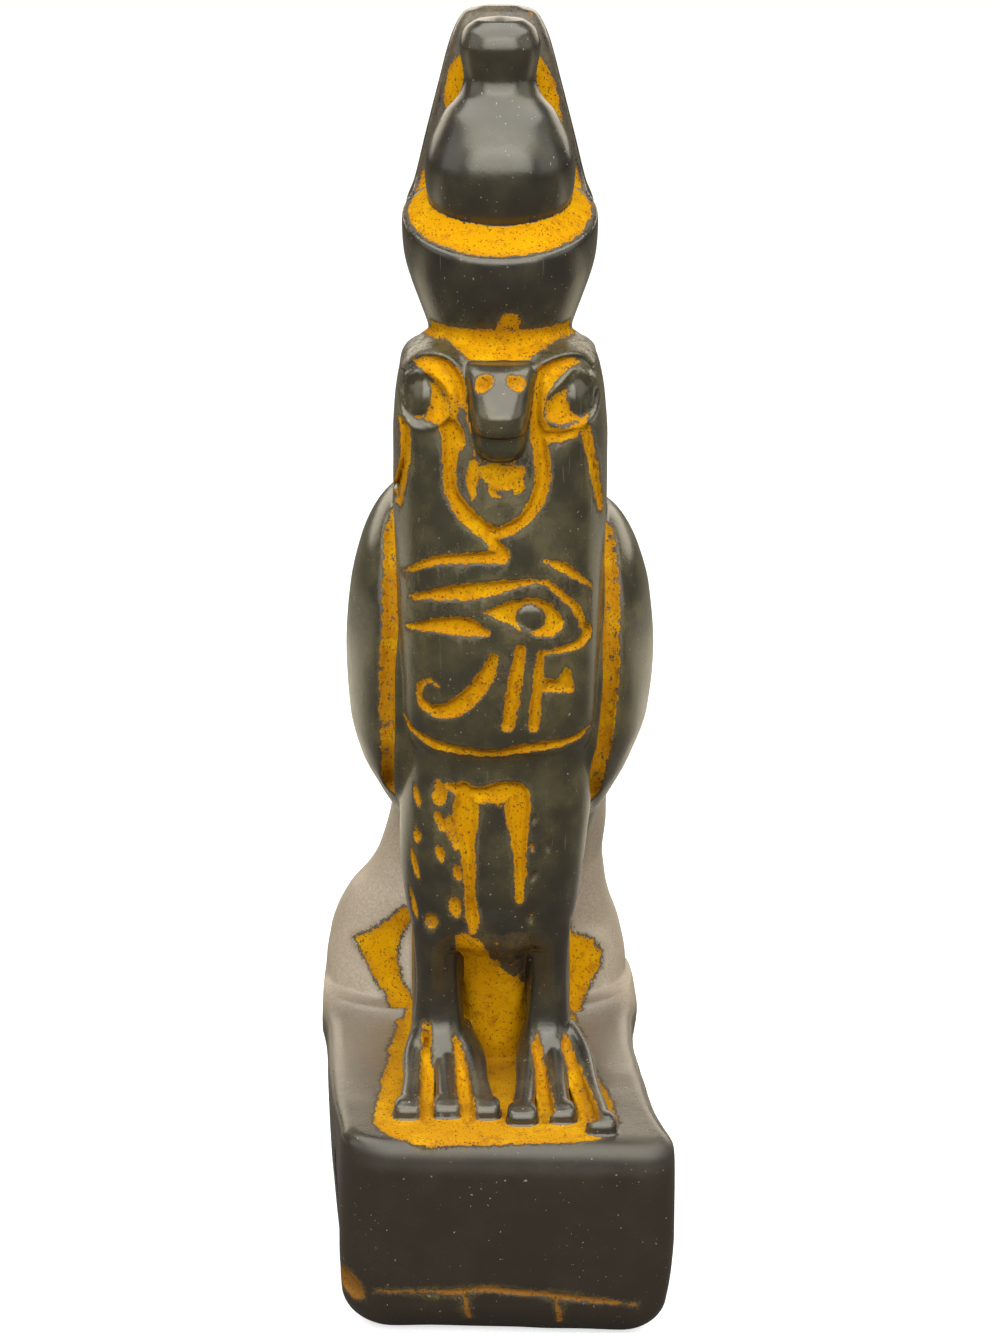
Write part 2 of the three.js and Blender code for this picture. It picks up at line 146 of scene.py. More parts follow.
# Upright forms in percent of the falcon's height: height, half width, front and back. The higher its
# power, the squarer a form is, and its ends are rounded by so many millimetres.
TRUNK = (
    (12.6, 6.7, -14.0, 0), (13.6, 7.3, -15.2, 1), (15.5, 8.0, -15.9, 3), (18, 8.5, -16.2, 5),
    (23, 9.0, -16.6, 7.5), (28, 9.2, -16.6, 8.5), (31.5, 9.2, -16.4, 9.5), (33, 9.3, -16.8, 9.5),
    (34.3, 9.5, -17.7, 9.5), (38, 9.7, -18.4, 9.5), (44, 9.8, -18.7, 9.5), (50, 9.8, -18.5, 8.5),
    (56, 9.9, -18.0, 7.5), (62, 9.9, -17.5, 6), (66, 9.7, -17.0, 5), (69, 9.3, -16.3, 4),
    (71, 8.6, -15.2, 3), (72.3, 7.3, -13.6, 2),
)
TRUNK_POWER = 3.4
TRUNK_ENDS = 3.0

# The thighs' foot leans to the left, the right shoulder hangs lower, and the wings' feet lean left.
THIGH_LEAN = -0.8
THIGH_TOP = 33
THIGH_FOOT = 19
SHOULDER_SLOPE = 0.8
SLOPE_FOOT = 40
SLOPE_HEIGHT = 15
WING_LEAN = 0.4
LEAN_FADE = (36, 30)
WING_ROOT = 8
WING_POWER = 2
WING_ENDS = 2.0
WING = (
    (12, 8.8, 10, 14), (18, 9.6, 4, 15), (22, 10.6, -2, 15), (25.2, 11.7, -7.4, 14.6),
    (29.3, 13.3, -11.6, 13.5), (33.5, 14.4, -13.2, 13), (39.5, 14.8, -13.4, 12.5),
    (45.5, 14.3, -12.5, 11.5), (49.5, 13.3, -10.5, 9.5), (52, 12.1, -7.5, 7.5), (53.9, 10.4, -4, 5),
    (54.8, 8.6, -1, 3),
)

# The tail: its height, how far it spreads from its waist to the block's width, how far it follows the
# block's drift, its front in percent, and how far it reaches from its own back to the block's.
TAIL = (
    (-1, 0.96, 1, -1, 1), (1, 0.955, 1, 0.4, 1), (3, 0.945, 1, 1.9, 1), (5.5, 0.85, 1, 3.2, 0.98),
    (7.5, 0.7, 0.97, 4.2, 0.94), (10, 0.47, 0.82, 4.6, 0.87), (12, 0.24, 0.56, 4.8, 0.8),
    (14.3, 0.08, 0.36, 5, 0.72), (18.5, 0, 0.08, 5, 0.58), (25, -0.1, 0, 4.6, 0.4),
    (33, -0.55, 0, 4.2, 0.22), (42, -0.95, 0, 4, 0.08), (49, -1.4, 0, 4, -0.07),
    (55, -1.8, 0, 4, -0.28),
)
TAIL_WAIST = 10.9
TAIL_BACK = 9.5
TAIL_INSET = 1.2
TAIL_POWER = 2.4

# The web behind the legs, the beak, and the spire of cup and plate, as the trunk is given.
WEB_POWER = 5
WEB = ((-1, 7.9, -9.8, 8), (4, 7.7, -9.8, 8), (16, 7.7, -9.8, 8))
WEB_SHIFT = -0.9
BEAK = (
    (61.6, 1.5, -17.8, -11), (62.2, 2.2, -19.0, -11), (63.4, 2.5, -19.6, -11),
    (64.1, 2.5, -19.6, -11), (64.5, 2.5, -20.4, -11), (65.2, 2.6, -20.8, -11),
    (66.1, 2.75, -20.8, -11), (67.1, 2.85, -20.3, -11), (68.3, 3.0, -19.4, -11),
    (69.5, 3.3, -18.35, -11), (70.3, 3.3, -17.2, -11),
)
BEAK_POWER = 2.4
BEAK_ENDS = 0.8
SPIRE_POWER = 3
SPIRE_ENDS = 1.2
SPIRE = (
    (72, 4, -4, -0.6), (76, 6.3, -4, 2.4), (79, 7.8, -4, 3.9), (81.8, 8.75, -3.6, 4.8),
    (84, 8, -3, 5), (88, 7, -2.6, 4.9), (93, 5.7, -2.2, 4.7), (97, 4.6, -1.8, 4.5),
    (98.6, 3.9, -1.3, 4.2), (99.5, 3.2, -0.6, 3.6), (100, 2, 0.4, 2.6),
)

# The head's top falls to the back between these heights.
HEAD_FOOT = 60
HEAD_TOP = 72.3
HEAD_FRONT = -18
HEAD_TILT = 0.14

# Turned forms in percent: radius and height. The cup is stretched along Y and tilted up to the back.
CUP_MIDDLE = -6
CUP_STRETCH = 1.1
CUP_TILT = 0.31
CUP = (
    (0, 68), (6.2, 68), (6.4, 71), (6.8, 72.5), (7.5, 74.5), (8.2, 76.5), (8.75, 78.5), (8.95, 80.4),
    (8.95, 81.9), (8.75, 82.4), (8.35, 82.35), (6.2, 83.9), (0, 84.1),
)
CUP_RIM = (8.35, 81.7)
BULB = (
    (0, 79), (5.1, 80.9), (6.05, 82.2), (6.6, 83.8), (6.85, 85.6), (6.8, 87.1), (6.4, 88.6), (5.8, 90),
    (5.0, 91.5), (3.8, 92.9), (3.3, 94.3), (3.35, 95.3), (3.6, 96.6), (3.65, 97.6), (3.2, 98.9),
    (2.2, 99.7), (0, 100),
)

# Pigment on the plate before its edge: its foot's top, and the two ends of a pointed patch higher up.
PLATE_EDGE = 1.1
PLATE_PIGMENT = ((-1, (85.2, 90.8, 96.2)), (1, (85.6, 88.4, 96.0)))
PLATE_TAPER = 1.8

# Legs in percent: the middle, the half width, where the toes start and where they end. A shin has
# places along and up with its share of the half width, a claw its height, half width and reach to
# the front and the back.
LEGS = (
    (-5.85, 2.25, (-8, -5.3, -2.7), ((-8.5, -22.7), (-5, -22.5), (-1.4, -22.7))),
    (4.5, 1.95, (2.8, 5.2, 7.6), ((2.1, -24), (5.7, -23.6), (9.4, -26))),
)
SHIN = ((-12.6, 14.5, 1.08), (-11.7, 9, 0.98), (-12.0, 4.5, 1.1), (-13.2, 1, 1.5))
TOE_ROOT = (-11.5, 3.4)
TOE_KNUCKLE = (-14.6, 2.2)
TOE_BACK = 1.4
TOE_TIP = 0.45
TOE_RADII = (1.6, 1.3, 0.95, 1.15)
CLAW = ((-0.6, 1.4, 1.7, 1.0), (0.6, 1.45, 1.75, 1.0), (1.2, 1.35, 1.45, 1.0), (1.6, 1.0, 0.8, 0.7))
CLAW_POWER = 3.2
CLAW_ENDS = 0.6

# Grooves that part the toes, in millimetres: across, along and up at their starts and ends.
TOE_GAPS = (
    ((-14.1, -28.0, 47.0), (-14.0, -33, 45.0), (-13.9, -38, 43.0), (-13.7, -49, 40.6)),
    ((-8.2, -29.4, 47.0), (-7.6, -33, 45.2), (-7.0, -38, 43.0), (-5.9, -49, 40.6)),
    ((6.9, -29.4, 47.0), (7.4, -33, 45.2), (7.9, -38, 43.0), (8.9, -49, 40.6)),
    ((12.6, -28.4, 47.0), (13.7, -34, 45.0), (14.9, -40, 43.0), (17.3, -53, 40.6)),
)
TOE_GAP_RADII = (0.7, 0.9, 1.1, 1.2)
TOE_GAP_LIFTS = (0, 1.6, 3.2)
TOE_FILLS = (-1.5, -3.3, -5.1)
TOE_FILL_RADII = (1.3, 1.5, 1.5, 1.3)

# The wedge of stone between the legs under the thighs: height, half width, front and back.
WEB_CROWN = (
    (-1, 3.0, -10.6, -4), (3.5, 3.0, -11.2, -4), (7, 3.1, -12.0, -4), (10, 3.2, -13.1, -4),
    (13, 3.3, -14.9, -4), (15, 3.3, -15.9, -4), (17, 3.0, -16.0, -4),
)
WEB_CROWN_SHIFT = -0.5
WEB_CROWN_POWER = 3

# In millimetres: how far each part is rounded into what is there, how far pigment keeps off what is
# bare, and for each cut how round its edges are and how far pigment is laid past its bed, if any.
ROUNDING = {
    "block": 0.5, "tail": 8, "web": 1.5, "wing": 3, "trunk": 1.2, "web crown": 2, "shin": 1.5, "toe": 0.8,
    "claw": 0.5, "toe fill": 0.5, "cup": 3, "beak": 0.5, "spire": 2.0, "bulb": 0.4,
}
BARE = {"leg": 0.35, "beak": 0.25, "bulb": 0.12}
CUTS = {
    "channel": (0.8, 0.25), "toe gap": (0.4, 0.3), "nostril": (0.4, 0.35), "feather": (0.3, 0.3),
    "faint feather": (0.3, -0.15), "plain": (0.4,),
}

# Unevenness in millimetres: how wide the swells are, their seed, and their strength everywhere, on
# the tail's mass and on the block. The mass fades in along Y and over heights in percent, and both
# fade at heights in millimetres.
SWELLS = ((13, 3, (0.1, 0.55, 0.2)), (4.5, 4, (0.05, 0.2, 0.07)))
MASS_FRONT = (-2, 6)
MASS_TOP = (30, 16)
MASS_FOOT = (30, 42)
BLOCK_FADE = (42, 36)


def slopes(heights, values):
    """Slopes for a curve through rows that doesn't swing past them."""
    steps = np.diff(values) / np.diff(heights)
    before, after = steps[:-1], steps[1:]
    together = before * after > 0
    middle = np.where(together, 2 * before * after / np.where(together, before + after, 1), 0)
    return np.concatenate([steps[:1], middle, steps[-1:]])


def bend(first, second, start, end, part):
    """A smooth curve between two values, with its slopes at both."""
    left = 1 - part
    return (
        first * (1 + 2 * part) * left ** 2 + start * part * left ** 2
        + second * (3 - 2 * part) * part ** 2 - end * left * part ** 2
    )


def curve_through(heights, values, height):
    """Reads a smooth curve through rows at any height."""
    heights, values = np.asarray(heights, float), np.asarray(values, float)
    turn = slopes(heights, values)
    height = np.clip(height, heights[0], heights[-1])
    low = np.clip(np.searchsorted(heights, height) - 1, 0, len(heights) - 2)
    gap = heights[low + 1] - heights[low]
    part = (height - heights[low]) / gap
    return bend(values[low], values[low + 1], turn[low] * gap, turn[low + 1] * gap, part)


def smooth(low, high, value):
    """Rises smoothly from 0 at low to 1 at high."""
    part = np.clip((value - low) / (high - low), 0, 1)
    return part * part * (3 - 2 * part)


def nearest(first, second, reach):
    """The smaller of two distances, rounded where they are nearly equal."""
    near = np.maximum(reach - np.abs(first - second), 0) / reach
    return np.minimum(first, second) - near * near * reach / 4


def rounded(first, second, radius):
    """The distance to where two bodies overlap, with the edge between them rounded."""
    outside = np.hypot(np.maximum(first + radius, 0), np.maximum(second + radius, 0))
    return outside + np.minimum(np.maximum(first, second) + radius, 0) - radius


def refined(points, pieces=PATH_PIECES):
    """More points along a smooth path, all columns alike."""
    points = np.asarray(points, float)
    finer = np.linspace(0, len(points) - 1, pieces * (len(points) - 1) + 1)
    bends = np.gradient(points, axis=0) if len(points) > 2 else np.diff(points, axis=0)[[0, 0]]
    low = np.clip(finer.astype(int), 0, len(points) - 2)
    part = (finer - low)[:, None]
    return bend(points[low], points[low + 1], bends[low], bends[low + 1], part)


def to_segment(start, end, *places):
    """How far places are from a segment, and at what part of it they are nearest."""
    run = end - start
    part = sum((place - first) * step for place, first, step in zip(places, start, run))
    part = np.clip(part / max(run @ run, TINY), 0, 1)
    gap = sum((place - first - part * step) ** 2 for place, first, step in zip(places, start, run))
    return np.sqrt(gap), part


def inside_path(path, u, v):
    """How far inside a tapered stroke each place lies: positive inside. Rows are u, v, half width."""
    inside = np.full(np.broadcast(u, v).shape, -FAR)
    for start, end in zip(path[:-1], path[1:]):
        gap, part = to_segment(start[:2], end[:2], u, v)
        inside = np.maximum(inside, start[2] + (end[2] - start[2]) * part - gap)
    return inside


def inside_outline(outline, u, v):
    """How far inside a closed outline each place lies: positive inside."""
    gap = np.full(np.broadcast(u, v).shape, FAR)
    within = np.zeros(gap.shape, bool)
    for start, end in zip(outline, np.roll(outline, -1, axis=0)):
        gap = np.minimum(gap, to_segment(start, end, u, v)[0])
        run = end - start
        if run[1]:
            crossing = (start[1] > v) != (end[1] > v)
            within ^= crossing & (u < start[0] + (v - start[1]) * run[0] / run[1])
    return np.where(within, gap, -gap)


def true_distance(field, step):
    """A field that is zero on a surface, scaled so that it grows by one a millimetre."""
    steepness = np.sqrt(sum(np.square(part) for part in np.gradient(field, step)))
    return field / np.maximum(steepness, LEAST_SLOPE)


class Form:
    """An upright body given by level rings: height, middle, half width, front and back."""

    def __init__(self, rows, power, round_ends=1.5, tilt=None):
        self.rows = np.array(rows, float)
        self.power = power
        self.round_ends = round_ends
        self.tilt = tilt or (lambda y, z: z)

    def box(self):
        heights, middle, half, front, back = self.rows.T
        low = (min(middle - half), min(front), heights[0])
        high = (max(middle + half), max(back), heights[-1])
        return np.array(low), np.array(high)

    def half_at(self, z):
        return curve_through(self.rows[:, 0], self.rows[:, 2], z)

    def place(self, z, degrees):
        """A place on the side, where 0 degrees is at +X and 90 at the back."""
        heights, *columns = self.rows.T
        middle, half, front, back = (curve_through(heights, column, z) for column in columns)
        turn = math.radians(degrees)
        across, along = (
            math.copysign(abs(value) ** (2 / self.power), value)
            for value in (math.cos(turn), math.sin(turn))
        )
        return np.array([middle + half * across, (front + back + (back - front) * along) / 2, z])

    def distance(self, x, y, z, step):
        heights, *columns = self.rows.T
        level = self.tilt(y, z)
        middle, half, front, back = (curve_through(heights, column, level) for column in columns)
        across = np.abs((x - middle) / half) ** self.power
        along = np.abs((2 * y - front - back) / (back - front)) ** self.power
        side = true_distance((across + along) ** (1 / self.power) - 1, step)
        ends = np.maximum(heights[0] - level, level - heights[-1])
        return -nearest(-side, -ends, self.round_ends)


class Turned:
    """A turned body given by radius and height, stretched along Y and tilted up to the back."""

    def __init__(self, profile, middle, stretch=1.0, tilt=0.0):
        radii, heights = np.array(profile, float).T
        self.profile = np.column_stack([share(radii), rise(heights)])
        self.middle = share(middle)
        self.stretch = stretch
        self.tilt = tilt

    def box(self):
        radius = self.profile[:, 0].max() * self.stretch
        low, high = self.profile[0, 1], self.profile[-1, 1]
        lift = self.tilt * radius
        return (
            np.array([-radius, self.middle - radius, low]),
            np.array([radius, self.middle + radius, high + lift]),
        )

    def distance(self, x, y, z, step):
        low, high = self.profile[0, 1], self.profile[-1, 1]
        lean = self.tilt * (y - self.middle) / (high - low)
        level = (z + lean * low) / (1 + lean)
        radius = np.hypot(x, (y - self.middle) / self.stretch)
        right = refined(self.profile[1:-1], PROFILE_PIECES)
        left = right[::-1] * (-1, 1)
        outline = np.vstack([right, self.profile[-1:], left, self.profile[:1]])
        fine = step / 2
        u = np.arange(0, radius.max() + fine, fine)[:, None]
        v = np.arange(level.min() - fine, level.max() + 2 * fine, fine)[None, :]
        table = -inside_outline(outline, u, v)
        return read_grid(table, radius / fine, (level - v[0, 0]) / fine)


def read_grid(grid, *cells):
    """Reads a flat or a solid grid between its entries, at places counted in its cells."""
    cells = np.stack(np.broadcast_arrays(*cells), axis=-1)
    cells = np.clip(cells, 0, np.array(grid.shape) - 1 - TINY)
    corner = np.minimum(cells.astype(int), np.array(grid.shape) - 2)
    part = cells - corner
    total = 0
    for over in np.ndindex((2,) * grid.ndim):
        weight = np.where(over, part, 1 - part).prod(axis=-1)
        total = total + weight * grid[tuple(np.moveaxis(corner + over, -1, 0))]
    return total


class Grid:
    """Numbers at even steps in a flat or a solid box, in millimetres."""

    def __init__(self, low, high, step, kind=float):
        self.step = step
        self.low = low
        self.axes = [np.arange(start, end, step, dtype=kind) for start, end in zip(low, high)]

    def near(self, low, high, margin):
        """The part of the grid round a box, and its coordinates there."""
        ends = np.column_stack([np.array(low) - margin, np.array(high) + margin])
        place = tuple(slice(*np.searchsorted(axis, pair)) for axis, pair in zip(self.axes, ends))
        return place, *np.ix_(*(axis[span] for axis, span in zip(self.axes, place)))

    def read(self, values, *places):
        """Reads numbers of the grid at places between its own."""
        return read_grid(values, *((place - low) / self.step for place, low in zip(places, self.low)))


class Bar:
    """A round bar along a smooth path with its own radius at each point."""

    def __init__(self, points, radii):
        self.path = refined(np.column_stack([points, radii]))

    def box(self):
        places, radii = self.path[:, :3], self.path[:, 3:]
        return (places - radii).min(axis=0), (places + radii).max(axis=0)

    def distance(self, x, y, z, step):
        gap = np.full(np.broadcast(x, y, z).shape, FAR, np.float32)
        for start, end in zip(self.path[:-1], self.path[1:]):
            away, part = to_segment(start[:3], end[:3], x, y, z)
            gap = np.minimum(gap, away - start[3] - (end[3] - start[3]) * part)
        return gap


class Egg:
    """A round body with its own reach along each axis."""

    def __init__(self, middle, reach):
        self.middle = np.array(middle, float)
        self.reach = np.array(reach, float)

    def box(self):
        return self.middle - self.reach, self.middle + self.reach

    def distance(self, x, y, z, step):
        places = [value - middle for value, middle in zip((x, y, z), self.middle)]
        near = np.sqrt(sum((place / reach) ** 2 for place, reach in zip(places, self.reach)))
        steep = np.sqrt(sum((place / reach ** 2) ** 2 for place, reach in zip(places, self.reach)))
        return near * (near - 1) / np.maximum(steep, TINY)


class Block:
    """The rough block under the falcon, with rounded edges and skewed sides."""

    back = BLOCK_FRONT + BLOCK_DEPTH

    def box(self):
        spread = BLOCK_WIDTH / 2 + BLOCK_DRIFT
        return np.array([-spread, BLOCK_FRONT - BLOCK_SLANT, 0]), np.array([spread, self.back, PLINTH])

    @staticmethod
    def sway(y):
        along = np.clip((y - BLOCK_FRONT) / BLOCK_DEPTH, 0, 1)
        return BLOCK_DRIFT * ((1 - along) ** DRIFT_POWER - FRONT_SHARE)

    @staticmethod
    def draw(y, z):
        """How far the left side draws in towards the front and the top."""
        return BLOCK_DRAW * smooth(*DRAW_FADE, y) * (1 + z / PLINTH) / 2

    def flat_sides(self, x, y, z):
        """The place in a straight block that a place in the skewed one comes from."""
        forward = 1 - smooth(BLOCK_FRONT, BLOCK_FRONT + BLOCK_NOSE, y)
        depth = 1 - z / PLINTH
        widening = BLOCK_FLARE * forward - BLOCK_TAPER * (1 - forward) * depth
        half = BLOCK_WIDTH / 2
        inward = np.where(x > 0, BLOCK_DRAFT * depth ** 2, self.draw(y, z))
        across = (x - self.sway(y)) / (half + widening - inward)
        return across * half, y + BLOCK_SLANT * forward * across / 2

    def left_side(self, y, z):
        """A place on the left side."""
        depth = 1 - z / PLINTH
        inward = BLOCK_TAPER * depth + self.draw(y, z)
        return np.array([self.sway(y) - BLOCK_WIDTH / 2 + inward, y, z])

    def distance(self, x, y, z, step):
        across, along = self.flat_sides(x, y, z)
        bulge = BLOCK_BULGE * (2 * z / PLINTH - 1) ** 2
        foot, top = BLOCK_EDGES
        edge = foot + (top - foot) * smooth(0, PLINTH, z)
        middle = (BLOCK_FRONT + self.back) / 2
        sides = np.abs(across) - BLOCK_WIDTH / 2 + bulge
        ends = np.abs(along - middle) - BLOCK_DEPTH / 2 + bulge
        levels = np.abs(z - PLINTH / 2) - PLINTH / 2
        return rounded(rounded(sides, ends, BLOCK_CORNER), levels, edge)


class Clay(Grid):
    """Distances to the figure's surface, negative inside."""

    def __init__(self, low, high, step):
        edge = EDGE_CELLS * step
        super().__init__(low - edge, high + edge, step, np.float32)
        self.depth = np.full([len(axis) for axis in self.axes], FAR, np.float32)
        self.marks = []

    def add(self, shape, reach, relief=None, bare=None):
        """Lays a shape on, rounded into what is there. A relief gives a depth cut into it first.

        Pigment keeps off a bare shape by so many millimetres.
        """
        place, *places = self.near(*shape.box(), reach + MARGIN_CELLS * self.step)
        distance = shape.distance(*places, self.step).astype(np.float32)
        if relief:
            distance = distance + relief(*places)
        self.depth[place] = nearest(self.depth[place], distance, reach)
        if bare is not None:
            self.marks.append((place, distance, bare, False))

    def cut(self, shape, reach, spread=None):
        """Takes a shape away, with rounded edges, and lays pigment so far past its bed."""
        place, *places = self.near(*shape.box(), reach + MARGIN_CELLS * self.step)
        self.take(place, shape.distance(*places, self.step), reach, spread)

    def take(self, place, distance, reach, spread):
        self.depth[place] = -nearest(-self.depth[place], distance, reach)
        if spread is not None:
            self.marks.append((place, distance, spread, True))

    def cut_mesh(self, mesh, reach, spread=None):
        """Takes the closed bodies of a mesh away, as cut does with a shape."""
        mesh.calc_loop_triangles()
        grid = openvdb.FloatGrid.createLevelSetFromPolygons(
            in_threes(mesh.vertices, "co", np.float32) - self.low.astype(np.float32),
            triangles=in_threes(mesh.loop_triangles, "vertices", np.uint32),
            transform=openvdb.createLinearTransform(self.step),
            halfWidth=CUTTER_CELLS,
        )
        distance = np.full(self.depth.shape, FAR, np.float32)
        grid.copyToArray(distance)
        everywhere = tuple(slice(0, count) for count in distance.shape)
        self.take(everywhere, distance, reach, spread)

    def face(self, x, z):
        """The place of the front surface along Y, straight behind a place across and up."""
        column = self.depth[
            round((x - self.low[0]) / self.step), :, round((z - self.low[2]) / self.step)
        ]
        first = int(np.argmax(column < 0))
        part = column[first - 1] / (column[first - 1] - column[first])
        return self.low[1] + (first - 1 + part) * self.step

    def local(self, place, distance, points):
        """Reads a part of the room at points, and says which of them lie in it."""
        start = np.array([part.start for part in place])
        cells = (points - self.low) / self.step - start
        near = np.all((cells > 0) & (cells < np.array(distance.shape) - 1), axis=1)
        return self.read(distance, *(points[near] - start * self.step).T), near

    def swell(self, size, seed):
        """Smooth random swells between about -1 and 1, so many millimetres wide."""
        weights = []
        for axis in self.axes:
            place = (axis - axis[0]) / size
            cell = place.astype(int)
            part = place - cell
            curves = (
                (1 - part) ** 3,
                3 * part ** 3 - 6 * part ** 2 + 4,
                -3 * part ** 3 + 3 * part ** 2 + 3 * part + 1,
                part ** 3,
            )
            table = np.zeros((len(axis), cell[-1] + len(curves)), np.float32)
            for offset, curve in enumerate(curves):
                table[np.arange(len(axis)), cell + offset] = curve / 6
            weights.append(table)
        random = np.random.default_rng(seed)
        shape = [table.shape[1] for table in weights]
        field = random.uniform(-SWELL_RANGE, SWELL_RANGE, shape).astype(np.float32)
        for table in weights:
            field = np.tensordot(field, table, axes=(0, 1))
        return field

    def outward(self, points):
        """Directions straight out of the surface."""
        ends = [points + NORMAL_REACH * self.step * axis for axis in (*np.eye(3), *-np.eye(3))]
        depths = np.array([self.read(self.depth, *end.T) for end in ends])
        lines = (depths[:3] - depths[3:]).T
        return lines / np.maximum(np.linalg.norm(lines, axis=1, keepdims=True), TINY)


class Drawing(Grid):
    """A flat picture: how deep each place is cut and how far it is inside pigment."""

    def __init__(self, low, high):
        super().__init__(low, high, DRAWING_STEP)
        self.depth = np.zeros([len(axis) for axis in self.axes])
        self.pigment = np.full(self.depth.shape, -FAR)

    def mark(self, place, inside, depth, soft, spread):
        """Cuts or raises a place and brushes pigment on it. Without a spread it stays bare."""
        cut = depth * smooth(0, soft, inside)
        if depth > 0:
            self.depth[place] = np.maximum(self.depth[place], cut)
        else:
            self.depth[place] += cut
        if spread is not None:
            self.pigment[place] = np.maximum(self.pigment[place], inside + spread)

    def stroke(self, points, widths, depth, soft, spread):
        """A tapered stroke along a smooth path."""
        path = refined(np.column_stack([points, np.array(widths) / 2]))
        places, half = path[:, :2], path[:, 2].max()
        place, u, v = self.near(places.min(axis=0), places.max(axis=0), STROKE_MARGIN + half)
        self.mark(place, inside_path(path, u, v), depth, soft, spread)

    def patch(self, outline, depth, soft, spread):
        """A patch inside a closed outline."""
        outline = np.asarray(outline, float)
        place, u, v = self.near(outline.min(axis=0), outline.max(axis=0), PATCH_MARGIN)
        self.mark(place, inside_outline(outline, u, v), depth, soft, spread)

    def dome(self, middle, reach, height):
        """An oval mound, clean of pigment."""
        place, u, v = self.near(middle - reach, middle + reach, DOME_MARGIN)
        part = np.hypot((u - middle[0]) / reach[0], (v - middle[1]) / reach[1])
        self.depth[place] -= height * np.sqrt(np.clip(1 - part ** 2, 0, 1))
        self.pigment[place] = np.minimum(self.pigment[place], (part - 1) * reach.min())


# Marks on the front in percent of the falcon's height: places across and up, with widths.
CHEST_STROKES = (
    (((-9, 50.4), (-6.2, 52.3), (-2.7, 52.8), (0.3, 52.9)), (0.1, 0.7, 0.9, 1.2)),
    (((-1.2, 55.1), (-0.7, 54.3), (0.3, 53.2)), (1.2, 1.1, 1.1)),
    (((4, 52.5), (5.9, 51.7), (8.4, 49.4)), (0.2, 0.8, 0.1)),
    (((-8.3, 48.4), (-5.6, 49.3), (-2.7, 49.7), (0.4, 50.2), (2.6, 50.6), (4.2, 50.5)),
     (0.2, 1.1, 1.5, 1.0, 0.5, 0.4)),
    (((4.2, 50.5), (5.4, 49.5), (6.9, 47.8), (7.6, 46.2)), (0.4, 0.6, 0.6, 0.5)),
    (((7.6, 46.2), (7.9, 45.1), (7.4, 44.4), (5.9, 44.1), (4, 43.8)), (0.5, 1, 0.9, 0.6, 0.3)),
    (((-8.7, 45.4), (-6, 46.3), (-3.2, 46.4), (-1.2, 45.8)), (0.2, 1.2, 1.7, 0.6)),
    (((-0.6, 43.4), (-1.2, 41.8), (-2.4, 40), (-4, 38.6), (-5.6, 38), (-6.8, 38.3), (-7.4, 39.2),
      (-7.3, 40.2), (-6.5, 40.9), (-5.6, 40.5)),
     (0.9, 1.4, 1.6, 1.6, 1.3, 1, 0.6, 0.5, 0.4, 0.2)),
    (((1.9, 44.3), (1.6, 42.5), (1.2, 39.9), (0.7, 36.8)), (0.9, 1.2, 1.3, 1.2)),
    (((3.7, 43.8), (3.5, 41.5), (3.1, 36.7)), (0.6, 0.9, 1.1)),
    (((-8.9, 36.3), (-8.2, 35.4), (-7, 34.9), (-5.4, 34.4), (-3.1, 34.1), (-0.6, 33.8), (2.2, 34.4),
      (5, 34.7), (7, 35), (8.4, 35.7)),
     (0.2, 0.5, 0.8, 0.9, 0.8, 0.7, 0.9, 0.8, 0.6, 0.2)),
)
CHEST_FLAG = (
    (3.8, 40.1), (6.7, 39.8), (6.6, 41.4), (6.1, 42.5), (5.5, 41.6), (5.2, 41.1), (4.2, 41.4),
)
OPEN_EYE = (
    (-1.5, 47.7), (-0.4, 48.3), (1.2, 48.9), (3.3, 49.1), (4.8, 48.4), (5.9, 46.7),
    (5.6, 46), (4.8, 45.4), (3.3, 45.5), (1.8, 46.2), (0.1, 47),
)
PUPIL = ((2.8, 47.2), (1.3, 1.3))
FACE_STROKES = (
    (((-4.4, 64.6), (-4.5, 62), (-4.6, 60.2), (-4.2, 58.4), (-3.1, 56.8), (-1.6, 55.5), (-0.4, 55.1)),
     (1.6, 1.3, 1.1, 1.2, 1.4, 1.4, 1.2)),
    (((3.4, 64.4), (3.8, 61.6), (3.8, 59.6), (3.1, 57.6), (1.9, 56.1), (0.4, 55.3)),
     (1.3, 1.3, 1.3, 1.2, 1.0, 1.0)),
    (((-5.2, 64.6), (-4.3, 64.2), (-3.9, 63.4)), (0.6, 1.8, 1.4)),
    (((7, 70), (5.6, 70.2), (4.3, 69.8), (3.5, 69.1), (3.3, 67.8), (3.2, 65.7), (3.3, 63.7)),
     (0.3, 0.7, 0.9, 1.1, 1.2, 1, 1.2)),
    (((3.5, 64), (4.6, 63.9), (5.7, 63.8), (6.8, 64.2)), (1, 0.8, 0.8, 0.3)),
    (((-6.8, 70), (-5.6, 70.2), (-4.7, 69.8), (-3.9, 68.8), (-3.5, 67.8), (-3.5, 66.8)),
     (0.2, 0.7, 1, 1.2, 1.1, 0.3)),
    (((-9.1, 64.6), (-8.6, 63.8), (-8.6, 61.4), (-8.9, 59.5), (-9.5, 57)), (0.3, 0.8, 0.8, 0.8, 0.9)),
    (((7.8, 64.1), (8.1, 62.2), (8.6, 59.8), (9.2, 56.3)), (0.7, 0.6, 0.6, 0.4)),
)
